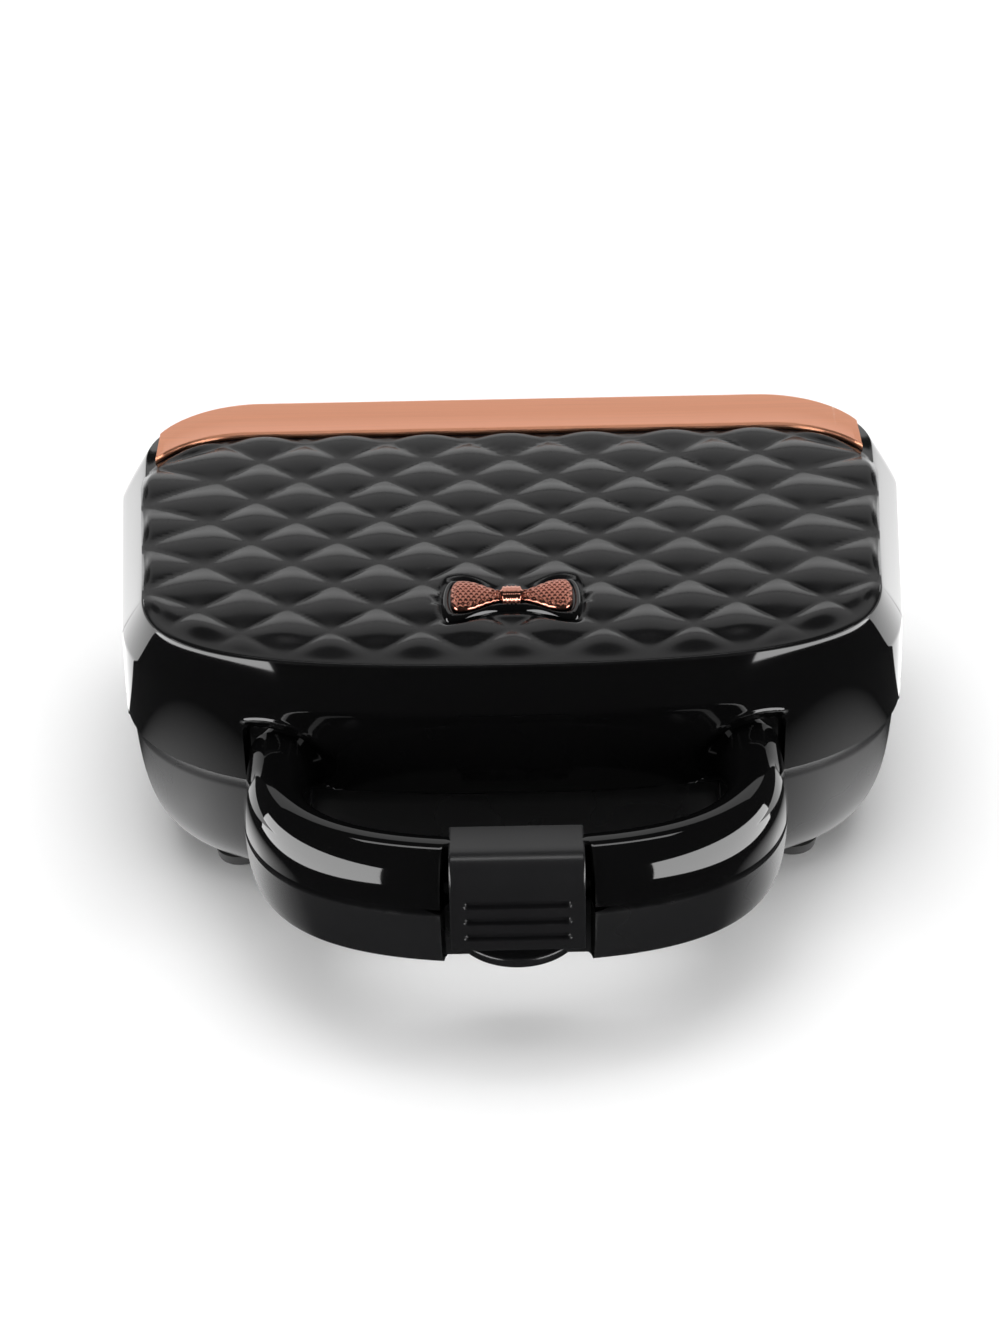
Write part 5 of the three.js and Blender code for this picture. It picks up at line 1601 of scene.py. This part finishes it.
@dataclass
class Fittings:
    """Feet, screws, inlet, pins and the inner parts that keep their CAD shape.

    Attributes:
        case: Shared outlines.
        carried: Finish and material name of each node that keeps its CAD shape.
    """

    case: CaseFrame
    carried: dict = field(default_factory=lambda: {
        "lower_heater": (HEATER, "heater_sheath"), "upper_heater": (HEATER, "heater_sheath"),
        "lower_reflector": (REFLECTOR, "rolled_sheet"), "upper_reflector": (REFLECTOR, "rolled_sheet"),
        "thermostat": (CERAMIC, "unglazed_ceramic"), "thermal_fuse": (CERAMIC, "unglazed_ceramic"),
        "terminal_block": (CERAMIC, "unglazed_ceramic"), "latch_spring": (STEEL, "zinc_steel"),
        "latch_catch": (STEEL, "zinc_steel"),
    })

    def build_feet(self) -> None:
        """Rubber feet with a turned-in tread."""
        for i in range(1, 5):
            low, high = node_box(f"foot_{i}")
            x, y = (low[:2] + high[:2]) / 2
            radius = (high[1] - low[1]) / 2
            top = high[2]
            tread = [(0.6, 0.55), (radius - 4.2, 0.5), (radius - 3.8, 0.05), (radius - 3.4, 0.0)]
            side = [(radius - 1.3, 0.0), (radius - 0.8, 0.2), (radius - 0.55, 0.7), (radius, top - 0.1)]
            profile = [*tread, *side, (0.6, top)]
            foot = turned(f"rubber_foot_{i}", profile, (x, y, 0.0))
            dress(foot, RUBBER, "foot_rubber", "base", [f"foot_{i}"])

    def build_screws(self) -> None:
        """Pan-head screws with a cross recess."""
        for body, part, away in (("base", "base_frame", -1), ("lid", "lid_frame", 1)):
            for i in range(1, 5):
                name = f"{part}_screw_{i}"
                low, high = node_box(name)
                x, y = (low[:2] + high[:2]) / 2
                face = high[2] if away < 0 else low[2]
                tip = low[2] if away < 0 else high[2]
                dress(self._screw(f"{name}_pan", x, y, face, tip, away), STEEL, "zinc_steel", body, [name])

    def _screw(self, name: str, x: float, y: float, face: float, tip: float, away: int) -> bpy.types.Object:
        """Domed head by rings whose faces sink along a cross recess, then a ribbed shank."""
        turn = np.linspace(0.0, 2.0 * np.pi, 64, endpoint=False)
        radii = np.array([0.02, 0.3, 0.6, 0.85, 1.1, 1.4, 1.8, 2.2, 2.5, 2.6, 2.6, 1.5])
        drop = np.array([0.0, 0.0, 0.0, 0.02, 0.03, 0.06, 0.12, 0.25, 0.5, 0.8, 1.4, 1.4])
        shank = np.linspace(0.0, 1.0, 30)
        pitch = 1.3 + 0.2 * np.cos(shank * 10 * 2 * np.pi)
        radii = np.concatenate([radii, pitch])
        drop = np.concatenate([drop, 1.5 + shank * (abs(tip - face) - 1.5)])
        px = x + radii[:, None] * np.cos(turn)
        py = y + radii[:, None] * np.sin(turn)
        slot = np.minimum(np.abs(px - x), np.abs(py - y)) < 0.32
        sunk = np.where(slot & (radii[:, None] < 1.45) & (np.arange(len(radii))[:, None] < 6), 0.7, 0.0)
        z = face + away * (drop[:, None] + sunk)
        return closed_loft(name, list(np.stack([px, py, z], -1)), 30.0)

    def build_inlet(self) -> None:
        """Cord inlet bush with a rolled flange and two relief rings."""
        low, high = node_box("inlet_bush")
        x, z = (low[0] + high[0]) / 2, (low[2] + high[2]) / 2
        radius = (high[2] - low[2]) / 2
        bore, barrel, out = 3.4, 5.3, high[1] - low[1]
        barrel_side = [(bore, 0.2), (barrel, 0.2), (barrel, out - 3.0)]
        flange = [(radius - 0.3, out - 2.9), (radius, out - 2.5), (radius - 0.5, out - 0.9),
                  (radius - 1.3, out - 0.3), (radius - 2.2, out)]
        mouth = [(bore + 0.6, out), (bore, out - 0.6), (bore, out - 2.0), (bore + 0.35, out - 2.4),
                 (bore, out - 2.8)]
        profile = barrel_side + flange + mouth
        bush = ring_turned("inlet_grommet", profile, (x, low[1], z), "y")
        dress(bush, RUBBER, "foot_rubber", "base", ["inlet_bush"])

    def build_pins(self) -> None:
        """Turned pins with chamfered ends for the hinge and the latch."""
        for name, body in (("hinge_pin_left", "base"), ("hinge_pin_right", "base"), ("latch_pin", "lid")):
            low, high = node_box(name)
            radius = (high[2] - low[2]) / 2
            length = high[0] - low[0]
            place = (low[0], (low[1] + high[1]) / 2, (low[2] + high[2]) / 2)
            profile = [(0.05, 0.0), (radius - 0.4, 0.0), (radius, 0.4), (radius, length - 0.4),
                       (radius - 0.4, length), (0.05, length)]
            dress(turned(f"{name}_turned", profile, place, "x"), STEEL, "zinc_steel", body, [name])

    def dress_carried(self) -> None:
        """Give the inner nodes that keep their CAD shape their own finishes."""
        for name, (finish, material) in self.carried.items():
            node = frame["nodes"][name]
            made = finish.material(material)
            if not node.material_slots:
                node.data.materials.append(made)
            for slot in node.material_slots:
                slot.material = made

    def build(self) -> None:
        """Make and dress every fitting."""
        self.build_feet()
        self.build_screws()
        self.build_inlet()
        self.build_pins()
        self.dress_carried()


# ------------------------------------------------------------------ studio
@dataclass
class Studio:
    """Camera, pale floor and soft lights. The camera is in millimetres, the lights in metres, the turns in degrees.

    Attributes:
        lens: Focal length.
        camera_at: Place of the camera.
        tilt: Its tip down.
        yaw: Its turn to the side.
        roll: Its roll about its own axis.
        floor_radius: Radius of the round floor.
        disc_radius: Radius of the glowing patch beside each front corner.
        disc_at: Middle of the right patch.
        disc_glow: Radiance in its middle.
        strip_from: Inner front corner of the right rear patch.
        strip_far: Its far edge.
        strip_glow: Its radiance.
        surround: Radiance that reflections and light see all round.
        backdrop: Radiance that the camera sees behind the floor.
        fill: Radiance of the light overhead, which reflections don't see.
        fill_at: Place of the light overhead.
        fill_size: Width and depth of the light overhead.
        boxes: Name, place, size and radiance of each soft box.
    """

    lens: float = 78.3
    camera_at: tuple[float, float, float] = (-0.24, -711.4, 512.4)
    tilt: float = 32.94
    yaw: float = -0.286
    roll: float = -1.26
    floor_radius: float = 1.4
    disc_radius: float = 0.075
    disc_at: tuple[float, float] = (0.125, -0.04)
    disc_glow: float = 2.0
    strip_from: tuple[float, float] = (0.125, 0.06)
    strip_far: float = 6.0
    strip_glow: float = 2.2
    surround: float = 0.03
    backdrop: float = 1.0
    fill: float = 2.75
    fill_at: tuple[float, float, float] = (0.0, 0.0, 2.4)
    fill_size: tuple[float, float] = (2.6, 2.6)
    boxes: tuple = (
        ("left_box", (-1.52, -0.62, 0.06), (2.7, 1.0), 7.0),
        ("right_box", (1.52, -0.62, 0.06), (2.7, 1.0), 7.0),
        ("over_box", (0.0, 0.30, 1.9), (1.2, 0.25), 3.5),
        ("rear_box", (0.0, 2.2, 0.42), (3.4, 1.1), 1.0),
        ("rear_high_box", (0.0, 2.0, 1.75), (3.4, 1.3), 0.8),
    )

    def camera(self) -> None:
        """Camera at the viewing angle: turned by yaw, tipped down by tilt and rolled about its own axis."""
        data = bpy.data.cameras.new("view")
        data.lens = self.lens
        data.sensor_width = 36.0
        data.clip_end = 50.0
        camera = bpy.data.objects.new("view", data)
        e, yaw = math.radians(self.tilt), math.radians(self.yaw)
        right = Vector((math.cos(yaw), -math.sin(yaw), 0.0))
        ahead = Vector((math.sin(yaw) * math.cos(e), math.cos(yaw) * math.cos(e), -math.sin(e)))
        up = right.cross(ahead)
        turn = Matrix((right, up, -ahead)).transposed()
        turn = turn @ Matrix.Rotation(math.radians(self.roll), 3, "Z")
        camera.matrix_world = Matrix.Translation(Vector(self.camera_at) * MM) @ turn.to_4x4()
        bpy.context.scene.collection.objects.link(camera)
        bpy.context.scene.camera = camera

    def softbox(self, name: str, at: Sequence[float], size: tuple[float, float],
                glow: float) -> bpy.types.Object:
        """One rectangular area light that faces the object.

        Args:
            name: Name of the light.
            at: Its place in metres.
            size: Width and height in metres.
            glow: Its radiance; the power is pi times the area times this.

        Returns:
            The light.
        """
        data = bpy.data.lights.new(name, "AREA")
        data.shape = "RECTANGLE"
        data.size, data.size_y = size
        data.energy = math.pi * size[0] * size[1] * glow
        light = bpy.data.objects.new(name, data)
        light.location = at
        light.rotation_euler = (Vector((0, 0, 0.05)) - Vector(at)).to_track_quat("-Z", "Y").to_euler()
        bpy.context.scene.collection.objects.link(light)
        return light

    def panel(self, name: str, corners: Sequence[Sequence[float]],
              paint: bpy.types.Material) -> bpy.types.Object:
        """One flat polygon of the studio.

        Args:
            name: Name of the panel.
            corners: Its corners in metres.
            paint: Its material.

        Returns:
            The panel.
        """
        mesh = bpy.data.meshes.new(name)
        mesh.from_pydata([tuple(c) for c in corners], [], [tuple(range(len(corners)))])
        mesh.materials.append(paint)
        made = bpy.data.objects.new(name, mesh)
        bpy.context.scene.collection.objects.link(made)
        return made

    def floor(self) -> None:
        """Plain pale floor, which polished surfaces see as four glowing patches."""
        paint = bpy.data.materials.new("pale_floor")
        paint.use_nodes = True
        shader = paint.node_tree.nodes["Principled BSDF"]
        shader.inputs["Base Color"].default_value = (0.93, 0.93, 0.93, 1.0)
        shader.inputs["Roughness"].default_value = 0.9
        shader.inputs["Specular IOR Level"].default_value = 0.1
        turn = np.linspace(0.0, 2.0 * np.pi, 96, endpoint=False)
        circle = np.column_stack([np.cos(turn), np.sin(turn)])
        ground = self.panel("floor", at_height(circle * self.floor_radius, 0.0), paint)
        ground.visible_glossy = False
        side, front = self.strip_from
        far = self.strip_far
        strip = [(side, front, -0.004), (far, front, -0.004), (far, far, -0.004), (side, far, -0.004)]
        disc = circle * self.disc_radius + list(self.disc_at)
        for name, sign in (("left", -1), ("right", 1)):
            self.unseen(f"{name}_floor_strip", np.array(strip) * [sign, 1, 1], self.strip_glow, 50.0)
            near = at_height(disc, -0.002) * [sign, 1, 1]
            self.unseen(f"{name}_near_floor", near, self.disc_glow, self.disc_radius)

    def unseen(self, name: str, corners: Array, glow: float, reach: float) -> None:
        """One glowing panel under the floor that only polished surfaces show.

        Args:
            name: Name of the panel.
            corners: Its corners in metres.
            glow: Its radiance in the middle.
            reach: Distance over which the glow fades out.
        """
        paint = bpy.data.materials.new(name)
        paint.use_nodes = True
        paint.node_tree.nodes.clear()
        tree = Tree(paint.node_tree)
        place = tree.add("TexCoord").outputs["Object"]
        middle = tuple(float(v) for v in np.mean(corners, axis=0))
        away = tree.add("VectorMath", {0: place, 1: middle}, operation="DISTANCE").outputs["Value"]
        level = tree.add("MapRange", {
            "Value": away, "From Min": 0.0, "From Max": reach, "To Min": glow, "To Max": 0.0,
        })
        light = tree.add("Emission", {"Strength": level.outputs[0]})
        paint.node_tree.links.new(light.outputs[0], tree.add("OutputMaterial").inputs[0])
        made = self.panel(name, corners, paint)
        made.visible_camera = made.visible_diffuse = made.visible_shadow = False

    def world(self) -> None:
        """White backdrop for the camera over an even dim surround."""
        world = bpy.data.worlds.new("surround")
        world.use_nodes = True
        tree = Tree(world.node_tree)
        seen = tree.add("LightPath").outputs["Is Camera Ray"]
        limits = {"Value": seen, "To Min": self.surround, "To Max": self.backdrop}
        level = tree.add("MapRange", limits).outputs[0]
        world.node_tree.links.new(level, world.node_tree.nodes["Background"].inputs[1])
        world.node_tree.nodes["Background"].inputs[0].default_value = (1.0, 1.0, 1.0, 1.0)
        bpy.context.scene.world = world

    def build(self) -> None:
        """Set up the whole studio."""
        bpy.context.scene.view_settings.view_transform = "Standard"
        self.camera()
        self.floor()
        self.world()
        for name, at, size, glow in self.boxes:
            self.softbox(name, at, size, glow)
        self.softbox("fill", self.fill_at, self.fill_size, self.fill).visible_glossy = False


def main() -> None:
    """Build the appliance, sub-assembly by sub-assembly, then the studio."""
    logging.basicConfig(level=logging.INFO, format="%(name)s: %(message)s")
    case = CaseFrame()
    sub_assemblies = (
        LidHousing(case), TrimBand(case), BowTie(case), GripLoop(case), Latch(case), BaseHousing(case),
        MouldPlate(case, "lower_plate", -1), MouldPlate(case, "upper_plate", 1),
        PlateFrame(case, "base_frame", -1), PlateFrame(case, "lid_frame", 1), Fittings(case),
    )
    for part in sub_assemblies:
        part.build()
    Studio().build()


if __name__ == "__main__":
    main()
